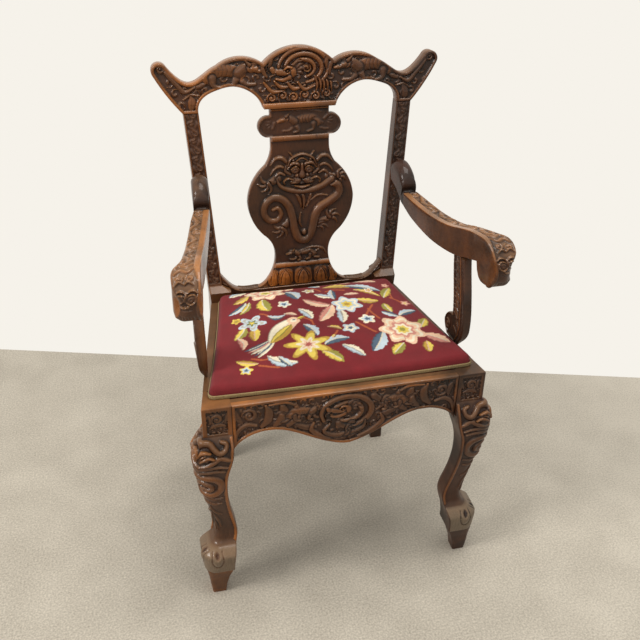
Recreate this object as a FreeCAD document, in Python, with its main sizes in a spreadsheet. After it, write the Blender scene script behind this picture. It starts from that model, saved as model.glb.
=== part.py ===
import FreeCAD, Part
import math
import os

# Carved armchair with a drop-in seat, in millimetres.
# X runs to the right of someone who faces the chair, Y to the back, Z up, the floor is Z = 0.
# The origin lies on the floor, under the middle of the chair.

Vector = FreeCAD.Vector
Rotation = FreeCAD.Rotation
doc = FreeCAD.newDocument("armchair")

# Driving sizes
SIZES = {
    # seat and legs
    "seat_height": 460.0,           # top of the seat rails
    "front_width": 535.0,           # over the front leg blocks
    "block_side": 54.0,             # square block at the top of a front leg
    "block_height": 104.0,
    "knee_swell": 18.5,             # how far the knee stands out past the block
    "toe_swell": 17.0,              # how far the toe scroll stands out past the block
    "ankle_inset": 10.5,            # how far the ankle lies inside the block's outer face
    "calf_swell": 0.5,              # how far the back of the ankle stands inside the block
    "knee_round": 25.0,             # rounding of the knee's outer corner
    "toe_round": 32.0,              # rounding of the toe scroll's outer corner
    "calf_round": 15.0,             # rounding of the leg's hidden corner
    "foot_side": 28.0,              # square foot at the floor
    "toe_height": 88.0,
    "ankle_height": 148.0,
    "knee_drop": 108.0,             # knee below the top of the seat rails
    # back
    "back_setback": 378.5,          # front face of the posts at the seat, behind the front rail's face
    "rake_angle": 4.33,
    "post_foot_out": 207.0,         # outer side of a rear foot
    "post_seat_out": 203.5,         # outer side of a post at the seat
    "post_top_out": 229.0,          # outer side of a post under the crest
    "post_face": 29.5,              # width of a post's carved face
    "post_depth_seat": 39.0,
    "post_depth_top": 28.0,
    "rear_foot_side": 28.0,
    "rear_foot_depth": 34.0,
    "rear_foot_back": 16.0,         # the rear foot stands this much behind the post at the seat
    "post_block_width": 44.0,
    "post_block_lead": 13.5,        # how far the post's block stands in front of its carved face
    "post_block_rise": 22.0,        # height of the block's front edge above the seat rails
    "post_height": 397.0,           # from the seat rails to the crest, along the rake
    # crest rail, its rises counted from the valleys beside the ears
    "crest_thickness": 26.0,
    "crest_valley": 453.5,          # above the seat rails, along the rake
    "crest_rise": 60.0,
    "crest_arch_half": 70.0,
    "notch_rise": 30.0,
    "lobe_rise": 43.5,
    "crest_valley_x": 214.0,
    "ear_reach": 267.0,             # centre of the ear's rounded tip
    "ear_rise": 25.0,
    "ear_radius": 15.0,
    "crest_tab_half": 72.0,
    "crest_tab_bottom": 397.0,
    # splat, heights from the seat rails along the rake
    "splat_thickness": 16.0,
    "splat_setback": 5.0,           # face of the splat behind the posts' faces
    "capital_half": 85.0,
    "capital_middle": 361.0,
    "capital_height": 42.0,
    "neck_half": 60.0,
    "vase_half": 112.0,
    "vase_middle": 207.0,
    "vase_height": 190.0,
    "waist_half": 58.0,
    "waist_middle": 92.0,
    "splat_foot_half": 104.0,
    "bead_radius": 6.0,
    # lower back rail
    "shoe_rise": 15.0,
    "shoe_thickness": 22.0,
    "shoe_end_rise": 54.0,
    # seat rails
    "rail_height": 72.0,
    "front_rail_thickness": 42.0,
    "side_rail_thickness": 35.0,
    "back_rail_thickness": 42.0,
    "apron_drop": 121.5,            # centre of the apron below the top of the rail
    "apron_rise": 65.5,             # highest stretch of the apron's lower edge, below the top
    "apron_end_drop": 100.0,        # where the apron meets a leg
    "tenon_length": 28.0,
    "tenon_thickness": 12.0,
    "tenon_height": 46.0,
    "tenon_shoulder": 10.0,
    "joint_gap": 0.2,
    # rebate and drop-in seat
    "front_ledge": 27.5,
    "seat_front_margin": 17.0,      # from the outer side of a leg block to the seat
    "seat_back_margin": 17.5,       # from the outer side of a post to the seat
    "seat_depth": 334.5,
    "rebate_depth": 13.0,
    "seat_clearance": 0.8,
    "seat_rest_gap": 0.2,
    "seat_frame_width": 46.0,
    "seat_frame_thickness": 15.0,
    "cover_thickness": 1.6,
    "cushion_side": 20.0,           # upright side of the cushion above the rails
    "cushion_crown": 34.0,
    "cushion_corner": 13.0,
    "front_bow": 5.0,
    "draw_in": 4.0,
    "soft_gap": 0.3,
    "braid_height": 7.0,
    "braid_thickness": 1.5,
    "web_width": 50.0,
    "web_thickness": 1.5,
    "tack_radius": 3.0,
    "tack_length": 6.0,
    # arms
    "arm_top": 259.0,               # top of the rolled end above the seat rails
    "arm_dip_drop": 34.0,           # lowest stretch of the arm's top, below the rolled end's top
    "arm_depth": 47.0,              # from there to the lowest stretch of the underside
    "knuckle_rise": 22.0,           # the rear knuckle above the rolled end's top
    "arm_front": 5.0,               # how far the rolled end stands in front of the front rail
    "roll_depth": 57.0,
    "roll_height": 87.0,
    "arm_inner_rear": 191.0,
    "arm_offset": 6.6,              # the rolled end lies this much outside the support's inner face
    "arm_width": 34.0,
    "roll_width": 47.0,
    # arm supports
    "support_thickness": 17.0,
    "support_gap": 2.6,             # between a support and the seat, at the support's foot
    "support_top_front": 105.0,
    "support_depth": 47.0,
    "support_foot_front": 78.0,
    "support_scroll": 18.0,
    # glue blocks and screws
    "glue_block_leg": 48.0,
    "glue_block_height": 34.0,
    "screw_radius": 2.2,
    "screw_head_radius": 4.2,
    "screw_length": 42.0,
}
sheet = doc.addObject("Spreadsheet::Sheet", "Sizes")
for row, (alias, value) in enumerate(SIZES.items(), start=1):
    sheet.set("A%d" % row, str(value))
    sheet.setAlias("A%d" % row, alias)
doc.recompute()


class Cells:
    """Reads a driving size from the sheet by its alias."""

    def __getattr__(self, alias):
        return float(getattr(sheet, alias))


s = Cells()

# Places worked out from the sizes
rake = math.radians(s.rake_angle)
seat_back = s.front_ledge + s.seat_depth
front_half = s.front_width / 2
block_in = front_half - s.block_side
leg_top = s.seat_height
leg_block_bottom = leg_top - s.block_height
rail_bottom = s.seat_height - s.rail_height
post_block_front = s.back_setback - s.post_block_lead
crest_top = s.crest_valley + s.crest_rise
crest_back = s.back_setback + crest_top * math.sin(rake) + s.crest_thickness * math.cos(rake)
centre_y = (crest_back - s.knee_swell) / 2
to_origin = FreeCAD.Placement(Vector(0, -centre_y, 0), Rotation())
raked = FreeCAD.Placement(Vector(0, s.back_setback, s.seat_height), Rotation(Vector(1, 0, 0), -s.rake_angle))
rebate_floor = s.seat_height - s.rebate_depth
seat_front_half = front_half - s.seat_front_margin
seat_back_half = s.post_seat_out - s.seat_back_margin
side_slope = (seat_front_half - seat_back_half) / s.seat_depth
support_inner = seat_front_half - side_slope * (s.support_foot_front - s.front_ledge) + s.support_gap
arm_inner_front = support_inner + s.arm_offset
arm_dip = s.arm_top - s.arm_dip_drop
arm_under = arm_dip - s.arm_depth
arm_knuckle_top = s.arm_top + s.knuckle_rise
outer_slope = (front_half - s.post_seat_out) / post_block_front
side_angle = math.degrees(math.atan(outer_slope))

# The planes that the outlines are drawn on
FRONT = Rotation(Vector(1, 0, 0), 90)       # outline in X and Z
SIDE = Rotation(Vector(1, 1, 1), 120)       # outline in Y and Z
PLAN = Rotation()                           # outline in X and Y


def point(pair):
    return Vector(pair[0], pair[1], 0)


def spline(points):
    """A smooth curve through the points."""
    curve = Part.BSplineCurve()
    curve.interpolate([point(p) for p in points])
    return curve


def line(start, end):
    return Part.LineSegment(point(start), point(end))


def arc(start, middle, end):
    return Part.Arc(point(start), point(middle), point(end))


def arcs(points):
    """Arcs end to end: every second point is the middle of one."""
    return [arc(*points[i:i + 3]) for i in range(0, len(points) - 2, 2)]


def chain(points):
    """Straight edges from point to point."""
    return [line(a, b) for a, b in zip(points, points[1:])]


def closed(points):
    return chain(list(points) + [points[0]])


def drawing(name, edges, rotation, base=(0, 0, 0)):
    """A sketch that stands in the given plane."""
    sketch = doc.addObject("Sketcher::SketchObject", name)
    sketch.Placement = FreeCAD.Placement(Vector(*base), rotation)
    sketch.addGeometry(edges, False)
    return sketch


def prism(name, edges, rotation, base, direction, length):
    """Carries an outline straight along a direction; the length is a number or an expression."""
    body = doc.addObject("Part::Extrusion", name)
    body.Base = drawing(name + "_outline", edges, rotation, base)
    body.DirMode = "Custom"
    body.Dir = Vector(*direction)
    body.Solid = True
    if isinstance(length, str):
        body.setExpression("LengthFwd", length)
    else:
        body.LengthFwd = length
    return body


def board(name, edges, thickness, face=0.0):
    """A board of the chair's back: its outline padded from its front face and leaned back."""
    body = doc.addObject("PartDesign::Body", name)
    plane = [f for f in body.Origin.OriginFeatures if f.Role == "XZ_Plane"][0]
    sketch = body.newObject("Sketcher::SketchObject", name + "_outline")
    sketch.AttachmentSupport = [(plane, "")]
    sketch.MapMode = "FlatFace"
    sketch.addGeometry(edges, False)
    pad = body.newObject("PartDesign::Pad", name + "_pad")
    pad.Profile = sketch
    pad.Reversed = True
    pad.setExpression("Length", thickness)
    body.Placement = raked.multiply(FreeCAD.Placement(Vector(0, face, 0), Rotation()))
    return body


def box(name, size, place, rotation=None, pivot=None):
    """A box from its size and lowest corner, each a number or an expression."""
    body = doc.addObject("Part::Box", name)
    for prop, value in zip(("Length", "Width", "Height"), size):
        if isinstance(value, str):
            body.setExpression(prop, value)
        else:
            setattr(body, prop, value)
    body.Placement = FreeCAD.Placement(Vector(*place), rotation or Rotation())
    if pivot is not None:
        body.Placement = pivot.multiply(body.Placement)
    return body


def stud(name, radius, height, place, direction=(0, 0, 1)):
    """A small rod in twelve flats, for a fastener or its hole."""
    body = doc.addObject("Part::Prism", name)
    body.Polygon = 12
    body.setExpression("Circumradius", radius)
    body.setExpression("Height", str(height))
    body.Placement = FreeCAD.Placement(Vector(*place), Rotation(Vector(0, 0, 1), Vector(*direction)))
    return body


def common(name, *parts):
    body = doc.addObject("Part::MultiCommon", name)
    body.Shapes = list(parts)
    return body


def fuse(name, *parts):
    body = doc.addObject("Part::MultiFuse", name)
    body.Shapes = list(parts)
    return body


def cut(name, base, *tools):
    body = doc.addObject("Part::Cut", name)
    body.Base = base
    body.Tool = tools[0] if len(tools) == 1 else fuse(name + "_tools", *tools)
    return body


def group(name, parts):
    """Separate solids kept in one node."""
    body = doc.addObject("Part::Compound", name)
    body.Links = list(parts)
    return body


def mirror(name, source):
    body = doc.addObject("Part::Mirroring", name)
    body.Source = source
    body.Normal = Vector(1, 0, 0)
    return body


def on_both_sides(name, parts, middle=()):
    """Right-hand pieces, their mirror images and the pieces in the middle, as one node."""
    return group(name, list(middle) + parts + [mirror(part.Name + "_left", part) for part in parts])


sub_parts = {}


def keep(name, body, place=to_origin):
    """Names a finished sub-part and puts it in its place."""
    body.Label = name
    body.Placement = place.multiply(body.Placement)
    sub_parts[name] = body
    return body


def keep_pair(name, body):
    """The right-hand piece and its mirror image on the left."""
    right = keep("right_" + name, body)
    left = mirror("left_" + name, right)
    left.Label = "left_" + name
    sub_parts["left_" + name] = left


def grown(value, gap="joint_gap"):
    """An expression that widens a size by a clearance on both sides."""
    return "%s + 2 * Sizes.%s" % (value, gap)


# Front legs: a square block, a cabriole lofted through rounded sections, and a tapered foot
def leg_levels():
    """Height, outer side, inner side, outer rounding and hidden rounding of each section.

    The sides are distances outward from the block's inner faces, the same towards the
    front and towards the side of the chair.
    """
    side = s.block_side
    knee = side + s.knee_swell
    ankle = side - s.ankle_inset
    toe = side + s.toe_swell
    hidden = s.calf_round
    knee_z = s.seat_height - s.knee_drop
    ankle_z = s.ankle_height
    toe_z = s.toe_height
    return [
        (leg_block_bottom + 42, side, 0, 2, 2),
        (knee_z + 22, side + 0.72 * s.knee_swell, 0, 0.6 * s.knee_round, 3),
        (knee_z, knee, 2, 0.95 * s.knee_round, 6),
        (knee_z - 34, knee - 2.5, 13.5, s.knee_round, 0.8 * hidden),
        (knee_z - 106, side + 4, 15.5, 0.9 * s.knee_round, hidden),
        (ankle_z + 45, side - 6, 7, 0.7 * s.knee_round, hidden),
        (ankle_z, ankle, -s.calf_swell, 0.6 * s.knee_round, hidden),
        (toe_z + 22, side + 0.35 * s.toe_swell, 7.5, 0.6 * s.toe_round, hidden - 4),
        (toe_z + 9, toe - 3, 12, 0.85 * s.toe_round, hidden - 6),
        (toe_z - 3, toe, 16, s.toe_round, hidden - 8),
        (toe_z - 20, toe - 5, 20, 0.9 * s.toe_round, 3),
    ]


def rounded(corners, radii, chords=2):
    """Straight edges round an outline; a corner that has a radius is rounded in a few chords."""
    marks = [Vector(x, y, 0) for x, y in corners]
    points = []
    for i, corner in enumerate(marks):
        if radii[i] == 0:
            points.append((corner.x, corner.y))
            continue
        before = (marks[i - 1] - corner).normalize()
        after = (marks[(i + 1) % len(marks)] - corner).normalize()
        half = before.getAngle(after) / 2
        centre = corner + (before + after).normalize() * (radii[i] / math.sin(half))
        start = corner + before * (radii[i] / math.tan(half)) - centre
        end = corner + after * (radii[i] / math.tan(half)) - centre
        turn = start.getAngle(end)
        for k in range(chords + 1):
            share = k / chords
            arm = start * (math.sin((1 - share) * turn) / math.sin(turn))
            arm += end * (math.sin(share * turn) / math.sin(turn))
            points.append((centre.x + arm.x, centre.y + arm.y))
    return closed(points)


def leg_section(name, z, outer, inner, outer_round, hidden_round):
    """A square section with two rounded corners, its outer side in line with the rail above the knee."""
    x0 = block_in + inner
    x1 = block_in + outer
    y0 = s.block_side - outer
    y1 = s.block_side - inner
    share = min(max((z - s.seat_height + s.knee_drop) / 30, 0), 1)
    slant = share * outer_slope * (y1 - y0)
    corners = [(x0, y0), (x1, y0), (x1 - slant, y1), (x0, y1)]
    return drawing(name, rounded(corners, [0, outer_round, 0, hidden_round]), PLAN, (0, 0, z))


def loft(name, sections):
    body = doc.addObject("Part::Loft", name)
    body.Sections = sections
    body.Solid = True
    body.Ruled = True
    return body


def block_outline():
    """The leg's square block in plan: its outer side lies in line with the side rail."""
    side = s.block_side
    return [(block_in, 0), (front_half, 0), (front_half - outer_slope * side, side), (block_in, side)]


def leg():
    side = s.block_side
    levels = leg_levels()
    sections = [leg_section("leg_section_%d" % i, *level) for i, level in enumerate(levels)]
    cabriole = loft("leg_cabriole", sections)
    low_z = levels[-1][0]
    foot_inner = side - s.foot_side / 2 - 9
    foot = loft("leg_foot", [
        leg_section("leg_foot_top", low_z, levels[-1][1] - 3, 22, 10, 3),
        leg_section("leg_foot_end", 0, foot_inner + s.foot_side, foot_inner, 5, 3),
    ])
    start = levels[0][0]
    block = prism("leg_block", closed(block_outline()), PLAN, (0, 0, start), (0, 0, 1), leg_top - start)
    blank = fuse("leg_blank", block, cabriole, foot)
    rebate = box(
        "leg_rebate",
        (seat_front_half + s.seat_clearance - block_in + 1, side, "Sizes.rebate_depth + 1"),
        (block_in - 1, s.front_ledge - s.seat_clearance - 1.4, rebate_floor),
    )
    panel = box("leg_panel", (side - 18, 2.5, s.rail_height - 24), (block_in + 9, -1, rail_bottom + 15))
    return cut("leg_cut", blank, rebate, panel, front_tenon("leg_front_mortise", True),
               side_tenon("leg_side_mortise", True, False))


# Seat rails with their tenons
tenon_bottom = rail_bottom + s.tenon_shoulder


def front_tenon(name, mortise):
    """The front rail's tenon in the right-hand block, or the mortise for it."""
    gap = s.joint_gap if mortise else 0
    length = "Sizes.tenon_length + %f" % (2 * gap)
    thick = grown("Sizes.tenon_thickness") if mortise else "Sizes.tenon_thickness"
    high = grown("Sizes.tenon_height") if mortise else "Sizes.tenon_height"
    return box(name, (length, thick, high), (block_in - gap, 12 - gap, tenon_bottom - gap))


def side_rail_outer(y):
    """Outer face of the right-hand side rail at a distance behind the front rail's face."""
    return front_half - outer_slope * y


def side_rail_inner(y):
    return side_rail_outer(y) - s.side_rail_thickness / math.cos(math.radians(side_angle))


def side_rail_frame(at_back):
    """Follows the right-hand side rail's outer face, from its front or back end."""
    y = post_block_front if at_back else s.block_side
    place = Vector(side_rail_outer(y), y, 0)
    return FreeCAD.Placement(place, Rotation(Vector(0, 0, 1), side_angle))


def side_tenon(name, mortise, at_back):
    gap = s.joint_gap if mortise else 0
    root = 8.0
    length = s.tenon_length - 6 + root
    start = -root if at_back else -length + root
    thick = grown("Sizes.tenon_thickness") if mortise else "Sizes.tenon_thickness"
    high = grown("Sizes.tenon_height") if mortise else "Sizes.tenon_height"
    return box(
        name,
        (thick, length + 2 * gap, high),
        (-12 - s.tenon_thickness - gap, start - gap, tenon_bottom - gap),
        pivot=side_rail_frame(at_back),
    )


def apron_half(sign):
    """The right or left half of the apron's lower edge, from its centre to the leg."""
    top = s.seat_height
    span = block_in / 213.5
    marks = [
        (0, s.apron_drop),
        (22, s.apron_drop - 4.5),
        (46, s.apron_drop - 14),
        (97, 0.72 * s.apron_rise + 0.28 * s.apron_drop - 1),
        (124, s.apron_rise + 3.5),
        (150, s.apron_rise),
        (174, s.apron_rise + 4),
        (195, s.apron_rise + 14),
        (213.5, s.apron_end_drop),
    ]
    return [(sign * x * span, top - drop) for x, drop in marks]


def front_rail():
    right = apron_half(1)
    left = apron_half(-1)
    edges = chain([left[-1], (-block_in, s.seat_height), (block_in, s.seat_height), right[-1]])
    edges += [spline(list(reversed(right)) + left[1:])]
    blank = prism("front_rail_blank", edges, FRONT, (0, 0, 0), (0, 1, 0), "Sizes.front_rail_thickness")
    rebate = box(
        "front_rail_rebate",
        (2 * block_in, s.front_rail_thickness, "Sizes.rebate_depth + 1"),
        (-block_in, s.front_ledge - s.seat_clearance - s.front_bow, rebate_floor),
    )
    # the apron below the rail proper is thinner than the rail
    relief = box(
        "apron_relief",
        (2 * block_in, s.front_rail_thickness, s.apron_drop),
        (-block_in, s.front_rail_thickness - 12, s.seat_height - s.rail_height - s.apron_drop),
    )
    right_tenon = front_tenon("front_tenon_right", False)
    left_tenon = mirror("front_tenon_left", front_tenon("front_tenon_left_source", False))
    shaped = cut("front_rail_shaped", blank, rebate, relief)
    return cut("front_rail_whole", fuse("front_rail_joined", shaped, right_tenon, left_tenon),
               *rail_screw_holes("front_rail", True))


def side_rail():
    """Right-hand side rail, its ends cut square to the chair's front."""
    front = s.block_side
    back = post_block_front
    outline = closed([
        (side_rail_outer(front), front),
        (side_rail_outer(back), back),
        (side_rail_inner(back), back),
        (side_rail_inner(front), front),
    ])
    blank = prism("side_rail_blank", outline, PLAN, (0, 0, rail_bottom), (0, 0, 1), "Sizes.rail_height")
    shaped = cut("side_rail_shaped", blank, seat_recess("side_rail_recess"),
                 support_foot("side_rail_mortise", True))
    joined = fuse("side_rail_joined", shaped, side_tenon("side_front_tenon", False, False),
                  side_tenon("side_back_tenon", False, True))
    return cut("side_rail_whole", joined, *rail_screw_holes("side_rail", False))


def post_inner(height):
    """Inner side of the right-hand post's face at a height above the seat rails."""
    lean = (s.post_top_out - s.post_seat_out) / s.post_height
    return s.post_seat_out + lean * height - s.post_face


def back_rail():
    half = s.post_seat_out - s.post_block_width
    front = seat_back - 12
    blank = box(
        "back_rail_blank",
        (2 * half, "Sizes.back_rail_thickness", "Sizes.rail_height"),
        (-half, front, rail_bottom),
    )
    rebate = box(
        "back_rail_rebate",
        (2 * half, 12 + s.seat_clearance, "Sizes.rebate_depth + 1"),
        (-half, front, rebate_floor),
    )
    shaped = cut("back_rail_shaped", blank, rebate)
    joined = fuse("back_rail_joined", shaped, *back_tenons("back_rail", False))
    return cut("back_rail_whole", joined, *rail_screw_holes("back_rail", True))


def back_tenons(name, mortise):
    """Tenons of the back rail and the lower back rail in the right-hand post, and their mirror images."""
    gap = s.joint_gap if mortise else 0
    start = s.post_seat_out - s.post_block_width
    high = grown("Sizes.tenon_height") if mortise else "Sizes.tenon_height"
    thick = grown("Sizes.tenon_thickness") if mortise else "Sizes.tenon_thickness"
    right = box(
        name + "_tenon_right",
        (16 + 2 * gap, thick, high),
        (start - gap, s.back_setback + 2 - gap, tenon_bottom - gap),
    )
    return [right] if mortise else [right, mirror(name + "_tenon_left", right)]


# Outline of the drop-in seat: a trapezium with rounded corners, a bowed front and drawn-in sides
def seat_corners(inset):
    front = s.front_ledge + inset
    back = seat_back - inset
    side = inset * math.sqrt(1 + side_slope ** 2)
    front_x = seat_front_half - side - side_slope * inset
    back_x = seat_back_half - side + side_slope * inset
    return [(-front_x, front), (front_x, front), (back_x, back), (-back_x, back)]


def seat_outline(inset):
    """The seat's four sides, each in two chords that bow or draw in, with rounded corners."""
    corners = [Vector(x, y, 0) for x, y in seat_corners(inset)]
    radius = max(s.cushion_corner - 0.3 * inset, 4.0)
    swell = [-s.front_bow, s.draw_in, 0.7 * s.draw_in, s.draw_in]
    marks = []
    radii = []
    for i, corner in enumerate(corners):
        far = corners[(i + 1) % 4]
        along = (far - corner).normalize()
        middle = (corner + far) * 0.5 + Vector(-along.y, along.x, 0) * swell[i]
        marks += [(corner.x, corner.y), (middle.x, middle.y)]
        radii += [radius, 0]
    return rounded(marks, radii)


def seat_recess(name):
    """The space that the rebate leaves for the drop-in seat, with its clearance."""
    return prism(name, closed(seat_corners(-s.seat_clearance)), PLAN, (0, 0, rebate_floor), (0, 0, 1),
                 "Sizes.rebate_depth + 1")


# Rear posts: back stile and rear leg in one piece, sawn from the side and from the front
def on_rake(height, depth):
    """Y and Z of a place on the leaning back, from its height and its depth behind the face."""
    y = s.back_setback + height * math.sin(rake) + depth * math.cos(rake)
    z = s.seat_height + height * math.cos(rake) - depth * math.sin(rake)
    return (y, z)


def post():
    block_bottom = rail_bottom - 4
    block_back = s.back_setback + s.post_depth_seat
    foot_y = s.back_setback + s.rear_foot_back
    block_top = s.seat_height + s.post_block_rise
    slope_top = on_rake(s.post_block_rise + 10, 0)
    side_edges = closed([
        (foot_y, 0),
        (s.back_setback + 1, block_bottom - 22),
        (post_block_front, block_bottom),
        (post_block_front, block_top),
        slope_top,
        on_rake(s.post_height, 0),
        on_rake(s.post_height, s.post_depth_top),
        on_rake(10, s.post_depth_seat),
        (block_back, rail_bottom),
        (foot_y + s.rear_foot_depth, 0),
    ])
    lean = (s.post_top_out - s.post_seat_out) / s.post_height
    top_z = s.post_height + 5
    out_top = s.post_seat_out + lean * top_z
    block_in_x = s.post_seat_out - s.post_block_width
    z0 = s.seat_height
    front_edges = closed([
        (s.post_foot_out, 0),
        (s.post_seat_out, block_bottom),
        (s.post_seat_out, z0),
        (out_top, z0 + top_z),
        (out_top - s.post_face, z0 + top_z),
        (post_inner(s.post_block_rise + 10), z0 + s.post_block_rise + 10),
        (block_in_x, block_top),
        (block_in_x, block_bottom),
        (s.post_foot_out - s.rear_foot_side, 0),
    ])
    far = 2 * s.back_setback
    side_sawn = prism("post_side_sawn", side_edges, SIDE, (0, 0, 0), (1, 0, 0), 2 * front_half)
    front_sawn = prism("post_front_sawn", front_edges, FRONT, (0, 0, 0), (0, 1, 0), far)
    blank = common("post_blank", side_sawn, front_sawn)
    mortises = [side_tenon("post_side_mortise", True, True), shoe_tenon("post_shoe_mortise", True),
                arm_tenon("post_arm_mortise", True)] + back_tenons("post", True)
    shaped = cut("post_shaped", blank, arm_screw_hole("post_screw_hole"), *mortises)
    return fuse("post_whole", shaped, crest_tenon("post_tenon", False))


def crest_tenon(name, mortise):
    """Tenon on top of the right-hand post, or its mortise in the crest rail."""
    gap = s.joint_gap if mortise else 0
    middle = s.post_top_out - s.post_face / 2
    size = (16 + 2 * gap, 12 + 2 * gap, 32 + gap)
    place = (middle - 8 - gap, 8 - gap, s.post_height - (0 if mortise else 0.5))
    return box(name, size, place, pivot=raked)


# Crest rail: centre arch, two lobes, valleys and ears
def crest_half(sign):
    """Edges of the right or left half, from the notch beside the centre arch to the tab."""
    valley = s.crest_valley
    lobe = valley + s.lobe_rise
    tip = (s.ear_reach, valley + s.ear_rise)
    r = s.ear_radius
    out = s.post_top_out
    tab = s.crest_tab_half
    upper = [
        (160, lobe - 15.5),
        (188, valley + 11),
        (s.crest_valley_x, valley),
        (236, valley + 12),
        (tip[0] - 0.8 * r, tip[1] + 0.6 * r),
    ]
    ear_end = (tip[0] + 0.84 * r, tip[1] - 0.55 * r)
    under_in = out - s.post_face
    span = (under_in + tab) / 2
    foot = s.post_height
    rise = 0.832 * (valley - foot)
    inner = [
        (under_in, foot),
        (under_in - 9, foot + 0.57 * rise),
        (span + 22, foot + 0.91 * rise),
        (span, foot + rise),
        (span - 28, foot + 0.87 * rise),
        (tab + 10, foot + 0.43 * rise),
        (tab, s.crest_tab_bottom),
    ]

    def put(p):
        return (sign * p[0], p[1])

    return [
        arc(put((s.crest_arch_half, valley + s.notch_rise)), put((112, lobe)), put(upper[0])),
        spline([put(p) for p in upper]),
        arc(put(upper[-1]), put((tip[0] + 0.5 * r, tip[1] + 0.87 * r)), put(ear_end)),
        arc(put(ear_end), put((out + 25, foot + 0.387 * (tip[1] - foot))), put((out, foot))),
        line(put((out, foot)), put(inner[0])),
        spline([put(p) for p in inner]),
    ]


def crest():
    arch = s.crest_arch_half
    tab = s.crest_tab_half
    notch = s.crest_valley + s.notch_rise
    edges = [arc((-arch, notch), (0, crest_top), (arch, notch))]
    edges += crest_half(1)
    edges += [line((tab, s.crest_tab_bottom), (-tab, s.crest_tab_bottom))]
    edges += crest_half(-1)
    blank = board("crest_blank", edges, "Sizes.crest_thickness")
    bead = bamboo_bead("crest_bead", tab - 2, s.crest_tab_bottom + 6, 1.0)
    right = crest_tenon("crest_mortise", True)
    left = mirror("crest_mortise_left", crest_tenon("crest_mortise_left_source", True))
    return cut("crest_whole", fuse("crest_beaded", blank, bead), right, left,
               splat_tenon("crest_splat_mortise", True, True))


def bamboo_bead(name, half, height, face):
    """A round moulding across the splat or crest, let half into its face."""
    start = raked.multVec(Vector(-half, face + 0.4 * s.bead_radius, height))
    return stud(name, "Sizes.bead_radius", 2 * half, start, (1, 0, 0))


# Splat: capital, neck, round vase, waist and spread foot
def splat_half(sign):
    cap_low = s.capital_middle - s.capital_height / 2
    cap_high = s.capital_middle + s.capital_height / 2
    vase = s.vase_half
    half = s.vase_height / 2
    middle = s.vase_middle
    foot = s.shoe_rise
    sides = [
        (s.neck_half, cap_low - 18),
        (s.neck_half + 3, middle + half),
        (s.neck_half + 14, middle + 0.78 * half),
        (vase - 12, middle + 0.45 * half),
        (vase, middle),
        (vase - 9, middle - 0.43 * half),
        (vase - 32, middle - 0.78 * half),
        (s.waist_half + 7, middle - 0.97 * half),
        (s.waist_half, s.waist_middle),
        (s.waist_half + 3, s.waist_middle - 30),
        (s.waist_half + 18, foot + 17),
        (s.splat_foot_half - 17, foot + 6),
        (s.splat_foot_half, foot),
    ]

    def put(p):
        return (sign * p[0], p[1])

    round_out = (s.capital_half, s.capital_middle)
    shoulder = s.capital_half - s.capital_height / 2 + 3
    return [
        line(put((s.neck_half, s.crest_tab_bottom)), put((s.neck_half, cap_high))),
        line(put((s.neck_half, cap_high)), put((shoulder, cap_high))),
        arc(put((shoulder, cap_high)), put(round_out), put((shoulder, cap_low))),
        line(put((shoulder, cap_low)), put((s.neck_half, cap_low))),
        line(put((s.neck_half, cap_low)), put(sides[0])),
    ] + arcs([put(p) for p in sides])


def splat_tenon(name, at_top, mortise):
    """Tenons at the two ends of the splat, or the mortises for them."""
    gap = s.joint_gap if mortise else 0
    half = 40 + gap
    start = s.crest_tab_bottom - 0.5 if at_top else s.shoe_rise - 10
    high = 18.5 if at_top else 10.5
    low = start - gap
    return box(
        name,
        (2 * half, 8 + 2 * gap, high + 2 * gap),
        (-half, s.splat_setback + 4 - gap, low),
        pivot=raked,
    )


def splat():
    edges = splat_half(1) + splat_half(-1)
    edges += [
        line((-s.neck_half, s.crest_tab_bottom), (s.neck_half, s.crest_tab_bottom)),
        line((-s.splat_foot_half, s.shoe_rise), (s.splat_foot_half, s.shoe_rise)),
    ]
    blank = board("splat_blank", edges, "Sizes.splat_thickness", s.splat_setback)
    upper = bamboo_bead("splat_upper_bead", s.neck_half + 5, s.capital_middle - s.capital_height / 2 - 3,
                        s.splat_setback)
    lower = bamboo_bead("splat_lower_bead", s.waist_half + 6, s.waist_middle - 28, s.splat_setback)
    return fuse("splat_whole", blank, upper, lower, splat_tenon("splat_top_tenon", True, False),
                splat_tenon("splat_bottom_tenon", False, False))


# Lower back rail: it stands on the back seat rail and rises to the posts in two rounds
def shoe():
    rise = s.shoe_end_rise
    low = s.shoe_rise
    foot = s.splat_foot_half

    def half(sign):
        marks = [
            (foot, low),
            (foot + 18, low - 1),
            (foot + 42, low + 4),
            (post_inner(0) - 14, low + 16),
            (post_inner(rise), rise),
        ]
        return [(sign * x, z) for x, z in marks]

    right = half(1)
    left = half(-1)
    block = s.post_seat_out - s.post_block_width
    shelf = s.post_block_rise + 10
    end = post_inner(shelf)
    edges = [spline(right), line(right[-1], (end, shelf))]
    edges += chain([(end, shelf), (block, s.post_block_rise), (block, 1), (-block, 1),
                    (-block, s.post_block_rise), (-end, shelf), left[-1]])
    edges += [spline(list(reversed(left))), line(left[0], right[0])]
    blank = board("shoe_blank", edges, "Sizes.shoe_thickness", 2.0)
    right_tenon = shoe_tenon("shoe_tenon_right", False)
    left_tenon = mirror("shoe_tenon_left", shoe_tenon("shoe_tenon_left_source", False))
    flat = box("shoe_base", (2 * block, 24, 6), (-block, s.back_setback, s.seat_height - 6))
    right_post = doc.getObject("post_blank")
    shaped = cut("shoe_shaped", blank, splat_tenon("shoe_mortise", False, True), flat, right_post,
                 mirror("post_blank_left", right_post))
    return fuse("shoe_whole", shaped, right_tenon, left_tenon)


def shoe_tenon(name, mortise):
    gap = s.joint_gap if mortise else 0
    start = s.post_seat_out - s.post_block_width
    return box(
        name,
        (14 + gap, 9 + 2 * gap, 12 + 2 * gap),
        (start - (2 if not mortise else gap), 8 - gap, 5 - gap),
        pivot=raked,
    )


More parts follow.
